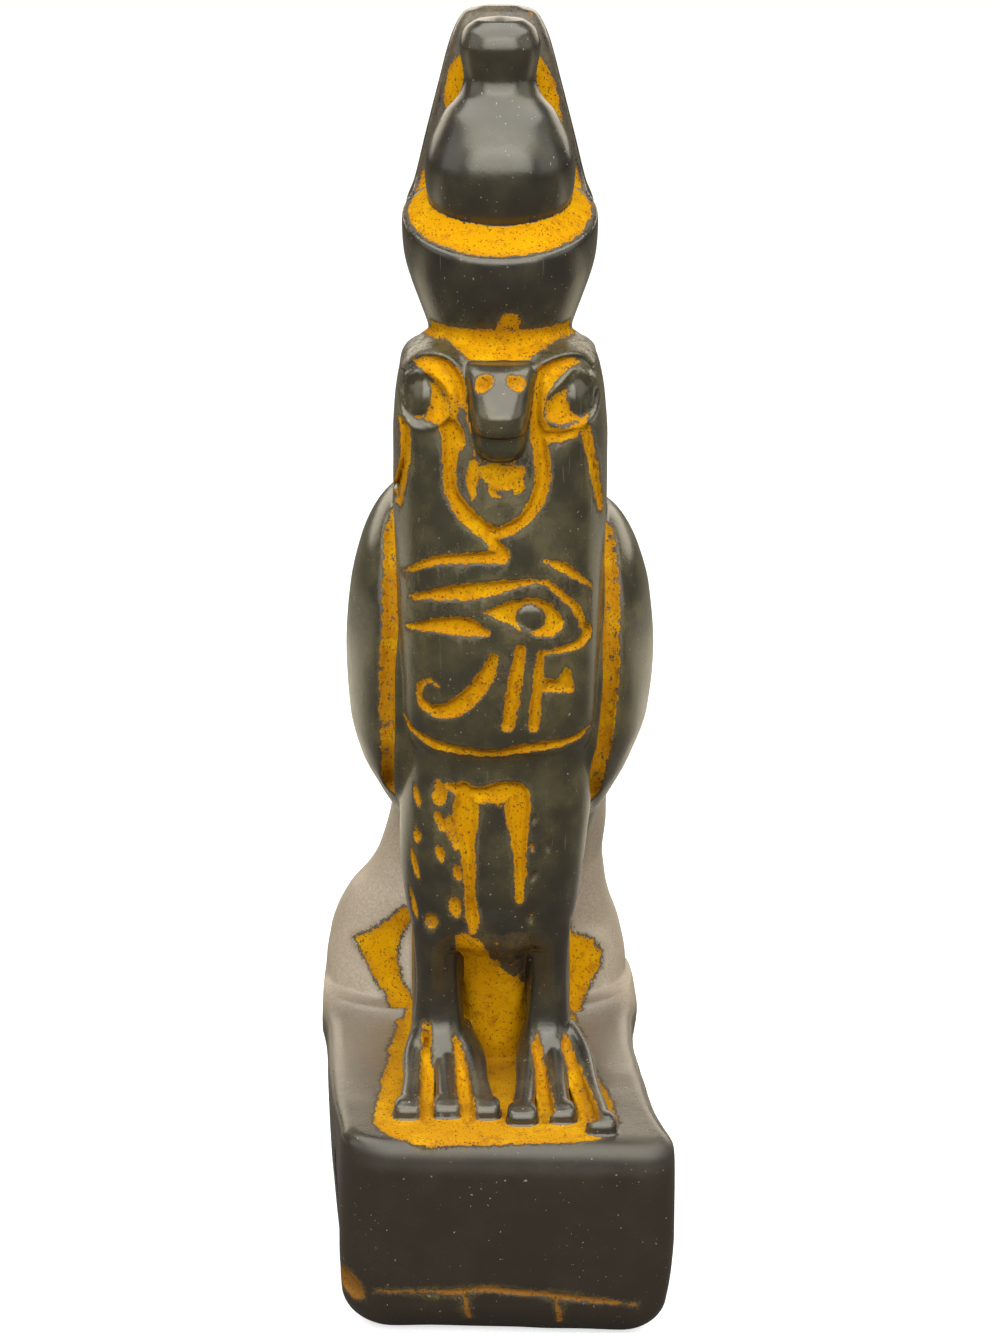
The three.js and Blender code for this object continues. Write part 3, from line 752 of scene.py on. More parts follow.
BIB_MARKS = (
    (((-2.4, 61.4), (-2.5, 60), (-2.4, 58.4)), (0.8, 1.1, 0.5)),
    (((-1.8, 60.9), (0, 60.7), (1.8, 60.7)), (0.8, 1.2, 1.0)),
    (((-1.3, 60.3), (0.3, 59.8), (1.6, 60)), (0.9, 1.7, 1.2)),
    (((1.6, 60.7), (1.8, 59.4), (1.3, 58.6)), (1.0, 0.9, 0.4)),
    (((-1, 59.4), (-0.6, 58.6), (0.2, 58.3)), (0.4, 0.6, 0.2)),
)
COLLAR = (
    (-6.3, 72), (-4.6, 71.7), (-3.1, 71.1), (-1.2, 70.6), (0.2, 70), (1.6, 70.4), (3, 71.1),
    (5.1, 71.6), (6.2, 72), (7.5, 75), (-7.5, 75),
)
ARCH_STROKES = (
    (((-3.3, 30), (-3.2, 27.5), (-3.1, 25), (-2.9, 22), (-2.8, 19.5), (-2.6, 17), (-2.5, 15.6)),
     (1.4, 2.3, 1.5, 1.1, 0.9, 1.1, 0.6)),
    (((-4.9, 30.3), (-3.4, 29.7), (-1.5, 29.4), (0, 29.7), (1.5, 29.7)), (0.4, 1.2, 1.6, 1.9, 2.0)),
    (((1.6, 29.4), (1.65, 27.6), (1.8, 24.5), (1.9, 22), (1.8, 18.8)), (2.2, 2.2, 1.3, 1.0, 0.6)),
)
BETWEEN_THIGHS = ((-2.9, 29), (1.9, 29), (2.1, 22), (2.2, 14), (-2.8, 14), (-3, 22))
EYES = (
    {
        "ball": ((-7.6, 67.3), (1.4, 2.15)),
        "corner": (
            (-6.6, 68.5), (-5.6, 68.0), (-4.8, 67), (-4.6, 65.9), (-5.3, 65), (-6.6, 65.1), (-6.4, 66.5),
        ),
        "shade": (
            (-7.8, 70.1), (-6.8, 70.5), (-5.5, 70.2), (-4.5, 69), (-3.9, 67.7), (-3.8, 66.4), (-3.9, 64.9),
            (-3.7, 63.6), (-5.3, 63.6), (-5.4, 64.6), (-4.5, 65.4), (-4.3, 66.4), (-5, 67.9), (-6.3, 69.1),
            (-7.5, 69.7),
        ),
        "rim": (
            (-9.2, 66.9), (-8.7, 68.5), (-7.6, 69.4), (-6.4, 69.3), (-5.3, 68.7), (-4.2, 67.1),
            (-4.7, 65.6), (-6.0, 64.6), (-7.7, 64.2), (-8.9, 65.2), (-9.2, 66.9),
        ),
        "brow": ((-8.9, 69), (-8.1, 70.1), (-6.7, 70.9), (-4.9, 70.8), (-3.6, 69.7), (-3, 67.5)),
    },
    {
        "ball": ((7.35, 67.35), (1.35, 2.1)),
        "corner": (
            (6.2, 67.7), (5.4, 67.6), (4.4, 67), (4.1, 65.9), (4.6, 65.2), (5.7, 64.9), (7.1, 65.1),
            (6.2, 65.9),
        ),
        "shade": (
            (3.3, 68.8), (4, 69.8), (5.7, 70.3), (7.1, 70.1), (6.1, 69.6), (5, 68.7), (4, 67.4), (3.8, 65.9),
            (4.2, 64.9), (5.7, 64.4), (7.1, 64.8), (8, 65.4), (7.75, 64.4), (6.8, 63.6), (5.1, 63.3),
            (3.9, 63.2), (3.2, 63.2), (3.1, 65.9),
        ),
        "rim": (
            (8.6, 68.4), (7.6, 69.4), (6.6, 69.5), (5.7, 68.7), (4.1, 67.2), (3.9, 65.5), (5.5, 64.6),
            (7.1, 64.5), (8.6, 65.2), (9, 66.8), (8.6, 68.4),
        ),
        "brow": ((8.5, 69.6), (7.7, 70.5), (6.2, 70.9), (4.4, 70.5), (3.1, 69.7), (2.8, 67.8)),
    },
)

# The front's drawing in percent: its corners across and up, and where its relief fades along Y.
# Marks are cut in millimetres: depth (below 0 stands out), how soft the edge is, and how far pigment
# spreads past it, if any. The eyes' ridges have their width in percent before that.
FRONT_LOW, FRONT_HIGH = (-12, 10), (12, 80)
FRONT_FADE = (-6, -3)
FRONT_PATCHES = (
    (BETWEEN_THIGHS, (0.4, 0.9, None)),
    (OPEN_EYE, (0.9, 0.7, 0.1)),
    (CHEST_FLAG, (0.9, 0.7, 0.1)),
    (COLLAR, (0.5, 0.8, 0.2)),
)
FRONT_STROKES = (
    (ARCH_STROKES, (1.3, 0.9, 0.2)),
    (CHEST_STROKES, (0.9, 0.7, 0.1)),
    (FACE_STROKES, (1.2, 0.9, 0.2)),
    (BIB_MARKS, (0.3, 0.8, 0.0)),
)
EYE_PATCHES = {"rim": (1.2, 2.0, None), "shade": (0.0, 1.0, 0.1), "corner": (0.3, 0.6, 0.25)}
EYE_RIDGES = {"rim": (0.5, (-0.5, 0.5, None)), "brow": (1.0, (-0.9, 1.0, None))}
PUPIL_HEIGHT = 0.8
BALL_HEIGHT = 1.1
NOSTRILS = (((-1.65, 69.3), (0.85, 1.05)), ((1.65, 69.25), (0.95, 0.8)))
NOSTRIL_FRONT = -18.6
NOSTRIL_DEPTH = 1.3
CUP_PATCH = ((0.8, -13.6, 74.0), (1.2, 1.6, 1.0))

# The pigment on the head's top, in millimetres across and along.
HEAD_TOP_PIGMENT = (
    (-14.5, -12), (-12.6, -18.3), (-7.2, -28.9), (-3, -33.4), (0.2, -35), (3, -33.2), (6.8, -29.1),
    (12.8, -17.1), (14, -12), (10, 4), (-10, 4),
)

# The channels between the chest and the wings: places in millimetres and radii.
CHANNELS = (
    (
        ((-19.4, -24, 155.5), (-19.9, -18, 152), (-20.2, -10.5, 148.3), (-20.4, -13.2, 144.9),
         (-20.5, -19, 140.3), (-20.4, -23.6, 130),
         (-20.9, -24.2, 121.5), (-21.2, -24.2, 111), (-21.4, -23.6, 105), (-21.3, -20, 99), (-20.6, -14, 94)),
        (0.8, 0.9, 1.1, 1.4, 1.6, 1.7, 1.7, 1.7, 1.6, 1.5, 1.3),
    ),
    (
        ((19.4, -21, 152), (20.3, -10.5, 145.5), (20.7, -17, 139.8), (21.2, -21.6, 133.3), (20.8, -24, 126.3),
         (20.2, -24.2, 117.5), (19.1, -23.9, 106.6), (18.5, -22.9, 99.3), (17.9, -18, 93)),
        (0.8, 1.2, 1.5, 1.8, 1.9, 1.8, 1.8, 1.6, 1.3),
    ),
)

# Cuts on the thighs: places across and up, half length, half width and lean in degrees. Their
# depths are in millimetres.
FEATHER_DEPTH = 0.65
FAINT_DEPTH = 0.5
FEATHERS = (
    (-7.9, 28.6, 1.2, 0.42, 35), (-5.7, 29.4, 1.2, 0.68, 10), (-7.8, 24.7, 0.6, 0.5, 0),
    (-5.6, 26.6, 0.95, 0.4, 20), (-4.4, 25.8, 1.75, 0.42, 12), (-8.1, 21.8, 1.4, 0.45, 26),
    (-5.6, 23.5, 0.8, 0.28, 15), (-4, 21.6, 0.9, 0.32, 12), (-8.2, 17.6, 1.5, 0.5, 18),
    (-6.5, 16.3, 0.8, 0.62, -20), (-4.2, 18.1, 1, 0.48, 5),
)
FAINT_FEATHERS = (
    (3.2, 27, 0.6, 0.22, -15), (4.4, 24.3, 0.8, 0.2, 15), (3, 24.2, 0.5, 0.25, 20),
    (3.2, 21.3, 0.7, 0.28, -25), (2.9, 16.9, 0.6, 0.25, 0),
)

# Long feather lines on the hidden sides: heights with degrees round the wing for the lowest and the
# highest line, where the others lie between them, and the tail's lines round its back.
PLUMES = (((34, -8), (29, 5), (24.5, 30)), ((42, 44), (35, 54), (27, 66)))
PLUME_FAN = (0.0, 0.25, 0.5, 0.75, 1.0)
PLUME_RADII = (0.3, 0.8, 0.5)
TAIL_PLUMES = (-36, -24, -12, 0, 12, 24, 36)
TAIL_PLUME_HEIGHTS = (5, 10, 16, 23)
TAIL_PLUME_RADII = (0.8, 0.9, 0.7, 0.3)
DROP_FINENESS = 3
GROOVE_SIDES = 8

# Strokes on the block's left side: how many, their height in millimetres, the share of its depth that
# they take up, how far some lean in radians, and their reach along each axis in millimetres.
STROKE_COUNT = 6
STROKE_HEIGHT = PLINTH * 0.56
STROKE_REACH = 0.7
STROKE_LEAN = 0.3
STROKE_REACHES = (0.9, 1.3, 7.2)

# Marks on the block's front in millimetres: across and up, widths and cut.
FOOT_LOW, FOOT_HIGH = (-36, 0), (36, 24)
FOOT_FADE = (BLOCK_FRONT + 7, BLOCK_FRONT + 12)
FOOT_STROKES = (
    (
        ((-23.4, 10.2), (-15, 10.3), (-7.6, 10.4), (-2.8, 11.1), (1.6, 10.7), (8.2, 10.2), (10.9, 9.9),
         (19.2, 9.2), (25.6, 8.5)),
        (0.4, 0.7, 1.0, 1.3, 1.2, 1.1, 1.2, 1.0, 0.3),
        (0.5, 0.6, 0.05),
    ),
    (((-6.6, 9.7), (-5.8, 5.0)), (0.9, 1.1), (0.4, 0.5, -0.05)),
    (((10.5, 10.2), (11.1, 4.6)), (0.9, 1.1), (0.4, 0.5, -0.05)),
)
FOOT_CHIP = ((-30.5, 12.5), (-28, 12.8), (-25.6, 10.6), (-25.2, 8.2), (-27, 7.2), (-30, 8.5))
FOOT_CHIP_CUT = (0.6, 1.2, 0.1)

# Pigment on the web between the legs (across and up) and on the block's top (across and along).
WEB_PIGMENT = (
    (-4.2, 15), (-3.4, 15.4), (-1.6, 14.6), (-1, 12.4), (0.4, 10.6), (2, 9.3), (2.6, 7), (2.9, 4.3),
    (3, -1), (-4.2, -1),
)
WEB_FILM = ((-1.6, 15.6), (2.9, 15.6), (2.9, 7.6), (0.7, 10.4), (-0.9, 12))
TOP_PIGMENT = (
    (-15, 4), (-18.5, 1), (-20, -8), (-20.8, -22), (-21.6, -36), (-22.6, -53), (-19.5, -56.5),
    (-14.5, -58.6), (16, -58.2), (19.5, -56.2), (20.0, -45), (18.5, -34), (16.5, -24), (14, -14), (10, -8),
)
TOP_STRIPS = (
    (((-19.8, -4), (-20.4, -20), (-21, -36), (-21.4, -50)), (2.0, 3.2, 4.0, 4.4)),
    (((14.5, -6), (16, -18), (18, -30), (20, -42), (21, -52)), (3, 2, 2.4, 2.6, 2)),
)

# Pigment in the creases before the tail, in millimetres across and up.
TAIL_PIGMENT = (
    ((-29.6, 52.4), (-26.5, 53.8), (-23, 56.5), (-19.6, 59.5), (-17, 60), (-19, 56), (-21, 51), (-20, 46.4),
     (-17.5, 43), (-16.5, 39), (-21.5, 39), (-22, 42), (-25.5, 46.5), (-27.6, 50)),
    ((12.5, 53.2), (15.5, 53.6), (18.5, 52.2), (20.6, 49.2), (20, 46.5), (17.5, 43.5), (15.4, 40),
     (11, 38.5)),
)

# Zones that pigment keeps to, in millimetres: from and to along Y, and from and to over the floor.
END = 999
ANY = (-END, END)
ZONES = {
    "carving": ((-END, share(-9)), (rise(13), END)),
    "foot": ((-END, BLOCK_FRONT + 12), (-END, 22)),
    "web": ((share(-17), share(-8)), (-END, rise(16))),
    "tail": ((0, 18), ANY),
    "ground": (ANY, (PLINTH - 4, PLINTH + 4)),
    "head": (ANY, (rise(69), rise(73.6))),
    "bowl": ((-END, share(-3)), (rise(78), rise(87))),
    "plate": ((share(-9), END), (rise(82), END)),
}
CARVING_TOP = 72.9
WEB_REACH = 12

# How far a face must turn to the front, or up, to take pigment.
FACING = {"front": -0.1, "plate": -0.2, "ground": 0.3, "head": 0.15, "bowl": 0.2}

# Recesses take pigment from this share of stone round them, by so many millimetres for all of it,
# and a little less below the eyes. Near the block they take it only between the legs.
RECESS_FLOOR = PLINTH - 3
RECESS_FOOT = 9
RECESS_REACH = 8
RECESS_SHARE = 0.6
RECESS_GAIN = 12
RECESS_EYES = 60
RECESS_LOSS = 0.2
ROUND_REACH = 1.4

# Thin films of pigment in millimetres, how worn it is before the tail, how sharply it ends at what is
# bare, the most that counts, and how the bowl of the cup tilts.
HEAD_FILM = -0.45
PLATE_FILM = -0.3
WEB_FILM_LEVEL = -0.25
TAIL_WEAR = 0.7
BARE_GAIN = 5
PIGMENT_LIMIT = 6
BOWL_TILT = CUP_TILT * 0.9
BOWL_GAIN = 0.8


def in_front(marks):
    """Places across and up in percent of the falcon's height, in millimetres."""
    across, up = np.transpose(marks)
    return np.column_stack([share(across), rise(up)])


def rows_of(form, shift=0):
    """Rows in millimetres with the body's middle after the height."""
    return [
        (rise(up), share(shift), share(half), share(front), share(back))
        for up, half, front, back in form
    ]


def head_tilt(y, z):
    """The head's top falls to the back, so a place there comes from higher up."""
    part = np.clip((z - rise(HEAD_FOOT)) / share(HEAD_TOP - HEAD_FOOT), 0, 1)
    return z + HEAD_TILT * part * np.maximum(0, y - share(HEAD_FRONT))


def trunk_form():
    rows = []
    for (up, *_), (height, _, *sizes) in zip(TRUNK, rows_of(TRUNK)):
        rows.append((height, share(THIGH_LEAN * smooth(THIGH_TOP, THIGH_FOOT, up)), *sizes))
    return Form(rows, TRUNK_POWER, TRUNK_ENDS, head_tilt)


def tail_form():
    back = Block.back - TAIL_MARGIN
    half = BLOCK_WIDTH / 2 - TAIL_INSET
    waist, hollow = share(TAIL_WAIST), share(TAIL_BACK)
    rows = [
        (
            rise(up),
            middle * Block.sway(Block.back),
            waist + (half - waist) * width,
            share(front),
            hollow + (back - hollow) * reach,
        )
        for up, width, middle, front, reach in TAIL
    ]
    return Form(rows, TAIL_POWER)


def wing_form(side):
    rows = []
    for up, out, front, back in WING:
        drop = side * SHOULDER_SLOPE * max(0, (up - SLOPE_FOOT) / SLOPE_HEIGHT)
        half = out - side * WING_LEAN * smooth(*LEAN_FADE, up) - WING_ROOT
        rows.append((rise(up - drop), side * share(WING_ROOT), share(half), share(front), share(back)))
    return Form(rows, WING_POWER, WING_ENDS)


def draw_front():
    """The carving and the pigment on the front, drawn flat across X and up."""
    front = Drawing(*in_front((FRONT_LOW, FRONT_HIGH)))
    for outline, cut in FRONT_PATCHES:
        front.patch(in_front(outline), *cut)
    for strokes, cut in FRONT_STROKES:
        for points, widths in strokes:
            front.stroke(in_front(points), share(widths), *cut)
    domes = [(PUPIL, PUPIL_HEIGHT)]
    for eye in EYES:
        for part, cut in EYE_PATCHES.items():
            front.patch(in_front(eye[part]), *cut)
        domes.append((eye["ball"], BALL_HEIGHT))
    for (middle, reach), height in domes:
        front.dome(in_front([middle])[0], share(reach), height)
    for eye in EYES:
        for part, (width, cut) in EYE_RIDGES.items():
            path = in_front(eye[part])
            front.stroke(path, np.full(len(path), share(width)), *cut)
    return front


def draw_foot():
    """The line, its ticks and a chip on the block's front, drawn flat across X and up."""
    foot = Drawing(FOOT_LOW, FOOT_HIGH)
    for points, widths, cut in FOOT_STROKES:
        foot.stroke(points, widths, *cut)
    foot.patch(FOOT_CHIP, *FOOT_CHIP_CUT)
    return foot


def relief_of(drawing, front, back):
    """How deep a drawing is cut at a place, less and less from front to back along Y."""
    def depth(x, y, z):
        return drawing.read(drawing.depth, x, z) * smooth(back, front, y)
    return depth


def carve_figure(sizes):
    """The whole figure in clay."""
    low = np.array(cad_low) / MM - AXIS
    high = np.array(cad_high) / MM - AXIS
    clay = Clay(low, high, sizes.step / MM)
    front, foot = draw_front(), draw_foot()
    block, tail = Block(), tail_form()
    wings = [wing_form(side) for side in (-1, 1)]
    clay.add(block, ROUNDING["block"], relief_of(foot, *FOOT_FADE))
    clay.add(tail, ROUNDING["tail"])
    clay.add(Form(rows_of(WEB, WEB_SHIFT), WEB_POWER), ROUNDING["web"])
    for wing in wings:
        clay.add(wing, ROUNDING["wing"])
    clay.add(trunk_form(), ROUNDING["trunk"], relief_of(front, *share(FRONT_FADE)))
    clay.add(Form(rows_of(WEB_CROWN, WEB_CROWN_SHIFT), WEB_CROWN_POWER), ROUNDING["web crown"])
    roughen(clay)
    for places, radii in CHANNELS:
        clay.cut(Bar(places, radii), *CUTS["channel"])
    for leg in LEGS:
        for part, reach in leg_parts(*leg):
            clay.add(part, reach, bare=BARE["leg"])
    for places in TOE_GAPS:
        for lift in TOE_FILLS:
            clay.add(Bar(np.array(places) + (0, 0, lift), TOE_FILL_RADII), ROUNDING["toe fill"])
        for lift in TOE_GAP_LIFTS:
            clay.cut(Bar(np.array(places) + (0, 0, lift), TOE_GAP_RADII), *CUTS["toe gap"])
    clay.add(Turned(CUP, CUP_MIDDLE, CUP_STRETCH, CUP_TILT), ROUNDING["cup"])
    clay.add(Form(rows_of(BEAK), BEAK_POWER, BEAK_ENDS), ROUNDING["beak"], bare=BARE["beak"])
    clay.add(Form(rows_of(SPIRE), SPIRE_POWER, SPIRE_ENDS), ROUNDING["spire"])
    clay.add(Turned(BULB, KNOB_MIDDLE), ROUNDING["bulb"], bare=BARE["bulb"])
    for (across, up), (wide, tall) in NOSTRILS:
        middle = (share(across), share(NOSTRIL_FRONT), rise(up))
        clay.cut(Egg(middle, (share(wide), NOSTRIL_DEPTH, share(tall))), *CUTS["nostril"])
    clay.cut_mesh(feather_cutters(clay, FEATHERS, FEATHER_DEPTH), *CUTS["feather"])
    clay.cut_mesh(feather_cutters(clay, FAINT_FEATHERS, FAINT_DEPTH), *CUTS["faint feather"])
    clay.cut_mesh(side_cutters(block), *CUTS["plain"])
    clay.cut_mesh(plume_cutters(wings, tail), *CUTS["plain"])
    for axis, (start, end) in enumerate(zip(low, high)):
        place = clay.axes[axis].reshape([-1 if index == axis else 1 for index in range(3)])
        clay.depth = np.maximum(clay.depth, np.maximum(start - place, place - end))
    return clay, front, foot


def roughen(clay):
    """Uneven faces: strongest on the tail's mass, weak on the body, and some on the block."""
    y, z = clay.axes[1][None, :, None], clay.axes[2][None, None, :]
    mass = smooth(*share(MASS_FRONT), y) * smooth(*rise(MASS_TOP), z) * smooth(*MASS_FOOT, z)
    block = smooth(*BLOCK_FADE, z)
    for size, seed, (everywhere, on_mass, on_block) in SWELLS:
        clay.depth += clay.swell(size, seed) * (everywhere + on_mass * mass + on_block * block)


def drops_on(graph, points, fineness):
    """Sets a drop on every point, with the point's own reach and turn."""
    ball = graph.node("GeometryNodeMeshIcoSphere", {}, {"Radius": 1.0, "Subdivisions": fineness})
    return graph.node("GeometryNodeInstanceOnPoints", {}, {
        "Points": points,
        "Instance": ball,
        "Rotation": graph.named("turn", "FLOAT_VECTOR"),
        "Scale": graph.named("reach", "FLOAT_VECTOR"),
    })


def grooves_on(graph, paths, sides):
    """Runs a round body along every path, with the path's own radius at each point."""
    ring = graph.node("GeometryNodeCurvePrimitiveCircle", {}, {"Resolution": sides, "Radius": 1.0})
    return graph.node("GeometryNodeCurveToMesh", {}, {
        "Curve": graph.node("GeometryNodeMeshToCurve", {}, {"Mesh": paths}),
        "Profile Curve": ring,
        "Scale": graph.named("reach", "FLOAT"),
        "Fill Caps": True,
    })


def cutter_tree(name, build, size):
    """Geometry nodes that build real bodies on points or paths and give them the material."""
    tree = bpy.data.node_groups.new(name, "GeometryNodeTree")
    kinds = {"Geometry": "NodeSocketGeometry", size: "NodeSocketInt", "Material": "NodeSocketMaterial"}
    for label, kind in kinds.items():
        tree.interface.new_socket(label, in_out="INPUT", socket_type=kind)
    tree.interface.new_socket("Geometry", in_out="OUTPUT", socket_type="NodeSocketGeometry")
    graph = Graph(tree)
    start = tree.nodes.new("NodeGroupInput")
    points, count, material = (Number(graph, start.outputs[label]) for label in kinds)
    real = graph.node("GeometryNodeRealizeInstances", {}, {0: build(graph, points, count)})
    painted = graph.node("GeometryNodeSetMaterial", {}, {"Geometry": real, "Material": material})
    graph.node("NodeGroupOutput", {}, {0: painted})
    return tree


def in_threes(items, name, kind):
    """One property of all items, three values a row."""
    values = np.empty((len(items), 3), kind)
    items.foreach_get(name, values.ravel())
    return values


def new_object(name, data):
    """An object in the scene."""
    item = bpy.data.objects.new(name, data)
    bpy.context.collection.objects.link(item)
    return item


def plain_mesh(item):
    """An object's mesh with its modifiers applied."""
    bpy.context.view_layer.update()
    return bpy.data.meshes.new_from_object(item.evaluated_get(bpy.context.evaluated_depsgraph_get()))


def grown(name, build, points, edges, values, size, count):
    """The plain mesh that geometry nodes grow on points, or on the paths that edges make of them."""
    seed = bpy.data.meshes.new(name)
    seed.from_pydata([tuple(point) for point in points], edges, [])
    for label, (kind, field, numbers) in values.items():
        attribute = seed.attributes.new(label, kind, "POINT")
        attribute.data.foreach_set(field, np.asarray(numbers, np.float32).ravel())
    holder = new_object(name, seed)
    modifier = holder.modifiers.new(name, "NODES")
    modifier.node_group = tree = cutter_tree(name, build, size)
    sockets = {item.name: item.identifier for item in tree.interface.items_tree if item.in_out == "INPUT"}
    modifier[sockets[size]] = count
    mesh = plain_mesh(holder)
    bpy.data.objects.remove(holder)
    bpy.data.meshes.remove(seed)
    bpy.data.node_groups.remove(tree)
    if not mesh.polygons:
        raise RuntimeError(f"{name} are empty")
    return mesh


def drops(name, rows):
    """Drop-shaped bodies: the place, the reach along each axis and the turn of each."""
    points, reaches, turns = zip(*rows)
    values = {
        "reach": ("FLOAT_VECTOR", "vector", reaches),
        "turn": ("FLOAT_VECTOR", "vector", turns),
    }
    return grown(name, drops_on, points, [], values, "Fineness", DROP_FINENESS)


def feather_cutters(clay, feathers, depth):
    """Cutters for the feather marks on the thighs, so many millimetres deep."""
    rows = []
    for across, up, length, width, lean in feathers:
        x, z = float(share(across)), float(rise(up))
        turn = math.atan2(clay.face(x + 1, z) - clay.face(x - 1, z), 2)
        reach = (share(width), depth, share(length))
        rows.append(((x, clay.face(x, z), z), reach, (0, math.radians(-lean), turn)))
    return drops("feather_cuts", rows)


def side_cutters(block):
    """Cutters for the strokes on the block's left side, one in three of them slanting."""
    rows = []
    middle = (BLOCK_FRONT + block.back) / 2
    for index in range(STROKE_COUNT):
        along = ((index + 0.5) / STROKE_COUNT - 0.5) * BLOCK_DEPTH * STROKE_REACH
        lean = STROKE_LEAN if index % 3 == 1 else 0
        rows.append((block.left_side(middle + along, STROKE_HEIGHT), STROKE_REACHES, (lean, 0, 0)))
    return drops("side_cuts", rows)


def plume_cutters(wings, tail):
    """Long feather grooves behind the wings and down the tail's back."""
    points, edges, reaches = [], [], []

    def groove(places, radii):
        path = refined(np.column_stack([places, radii]))
        edges.extend((len(points) + index, len(points) + index + 1) for index in range(len(path) - 1))
        points.extend(path[:, :3])
        reaches.extend(path[:, 3])

    lowest, highest = np.array(PLUMES, float)
    for wing, left in zip(wings, (True, False)):
        for part in PLUME_FAN:
            line = lowest + (highest - lowest) * part
            places = [wing.place(rise(up), 180 - turn if left else turn) for up, turn in line]
            groove(places, PLUME_RADII)
    for turn in TAIL_PLUMES:
        groove([tail.place(rise(up), 90 + turn) for up in TAIL_PLUME_HEIGHTS], TAIL_PLUME_RADII)
    values = {"reach": ("FLOAT", "value", reaches)}
    return grown("plume_cuts", grooves_on, points, edges, values, "Sides", GROOVE_SIDES)


def leg_parts(middle, half, starts, ends):
    """The shin, the toes and their claws, with how far each is rounded into the rest."""
    shin = [(share(middle), share(front), rise(up)) for front, up, _ in SHIN]
    parts = [(Bar(shin, [share(thick * half) for *_, thick in SHIN]), ROUNDING["shin"])]
    (root_front, root_up), (knuckle_front, knuckle_up) = TOE_ROOT, TOE_KNUCKLE
    for start, (across, along) in zip(starts, ends):
        places = [
            ((start + middle) / 2, root_front, root_up),
            (start, knuckle_front, knuckle_up),
            ((start + across) / 2, (along + knuckle_front) / 2, TOE_BACK),
            (across, along, TOE_TIP),
        ]
        toe = share(places) + (0, 0, PLINTH)
        parts.append((Bar(toe, share(TOE_RADII)), ROUNDING["toe"]))
        claw = [
            (rise(up), share(across), share(half), share(along - before), share(along + behind))
            for up, half, before, behind in CLAW
        ]
        parts.append((Form(claw, CLAW_POWER, CLAW_ENDS), ROUNDING["claw"]))
    return parts


def surface_of(clay):
    """Corners and four-sided faces of the clay's surface, in millimetres."""
    grid = openvdb.FloatGrid(FAR)
    grid.copyFromArray(clay.depth)
    points, _, faces = grid.convertToPolygons(0.0, 0.0)
    points = points * clay.step + clay.low
    one, two, three = (points[faces[:, index]] for index in range(3))
    if np.sum(np.cross(two - one, three - one) * one) < 0:
        faces = faces[:, ::-1]
    return points, faces


def thinned(mesh, name, triangles):
    """An object with a copy of a mesh that keeps at most so many triangles."""
    dense = new_object(name, mesh)
    modifier = dense.modifiers.new("Thin", "DECIMATE")
    modifier.ratio = min(1, triangles / (2 * len(mesh.polygons)))
    dense.data = plain_mesh(dense)
    dense.modifiers.clear()
    bpy.data.meshes.remove(mesh)
    dense.data.name = name
    return dense


def blurred(volume, reach):
    """A volume averaged over a box a few cells wide."""
    for axis in range(3):
        total = np.cumsum(np.moveaxis(volume, axis, 0), axis=0)
        low = np.clip(np.arange(len(total)) - reach - 1, 0, None)
        high = np.clip(np.arange(len(total)) + reach, None, len(total) - 1)
        volume = np.moveaxis((total[high] - total[low]) / (high - low)[:, None, None], 0, axis)
    return volume


def hollowness(clay, points):
    """How much of the room round each place is stone: a half on a flat, more in a recess."""
    stone = np.clip(0.5 - clay.depth / clay.step, 0, 1)
    reach = max(1, round(ROUND_REACH / clay.step))
    return clay.read(blurred(blurred(stone, reach), reach), *points.T)


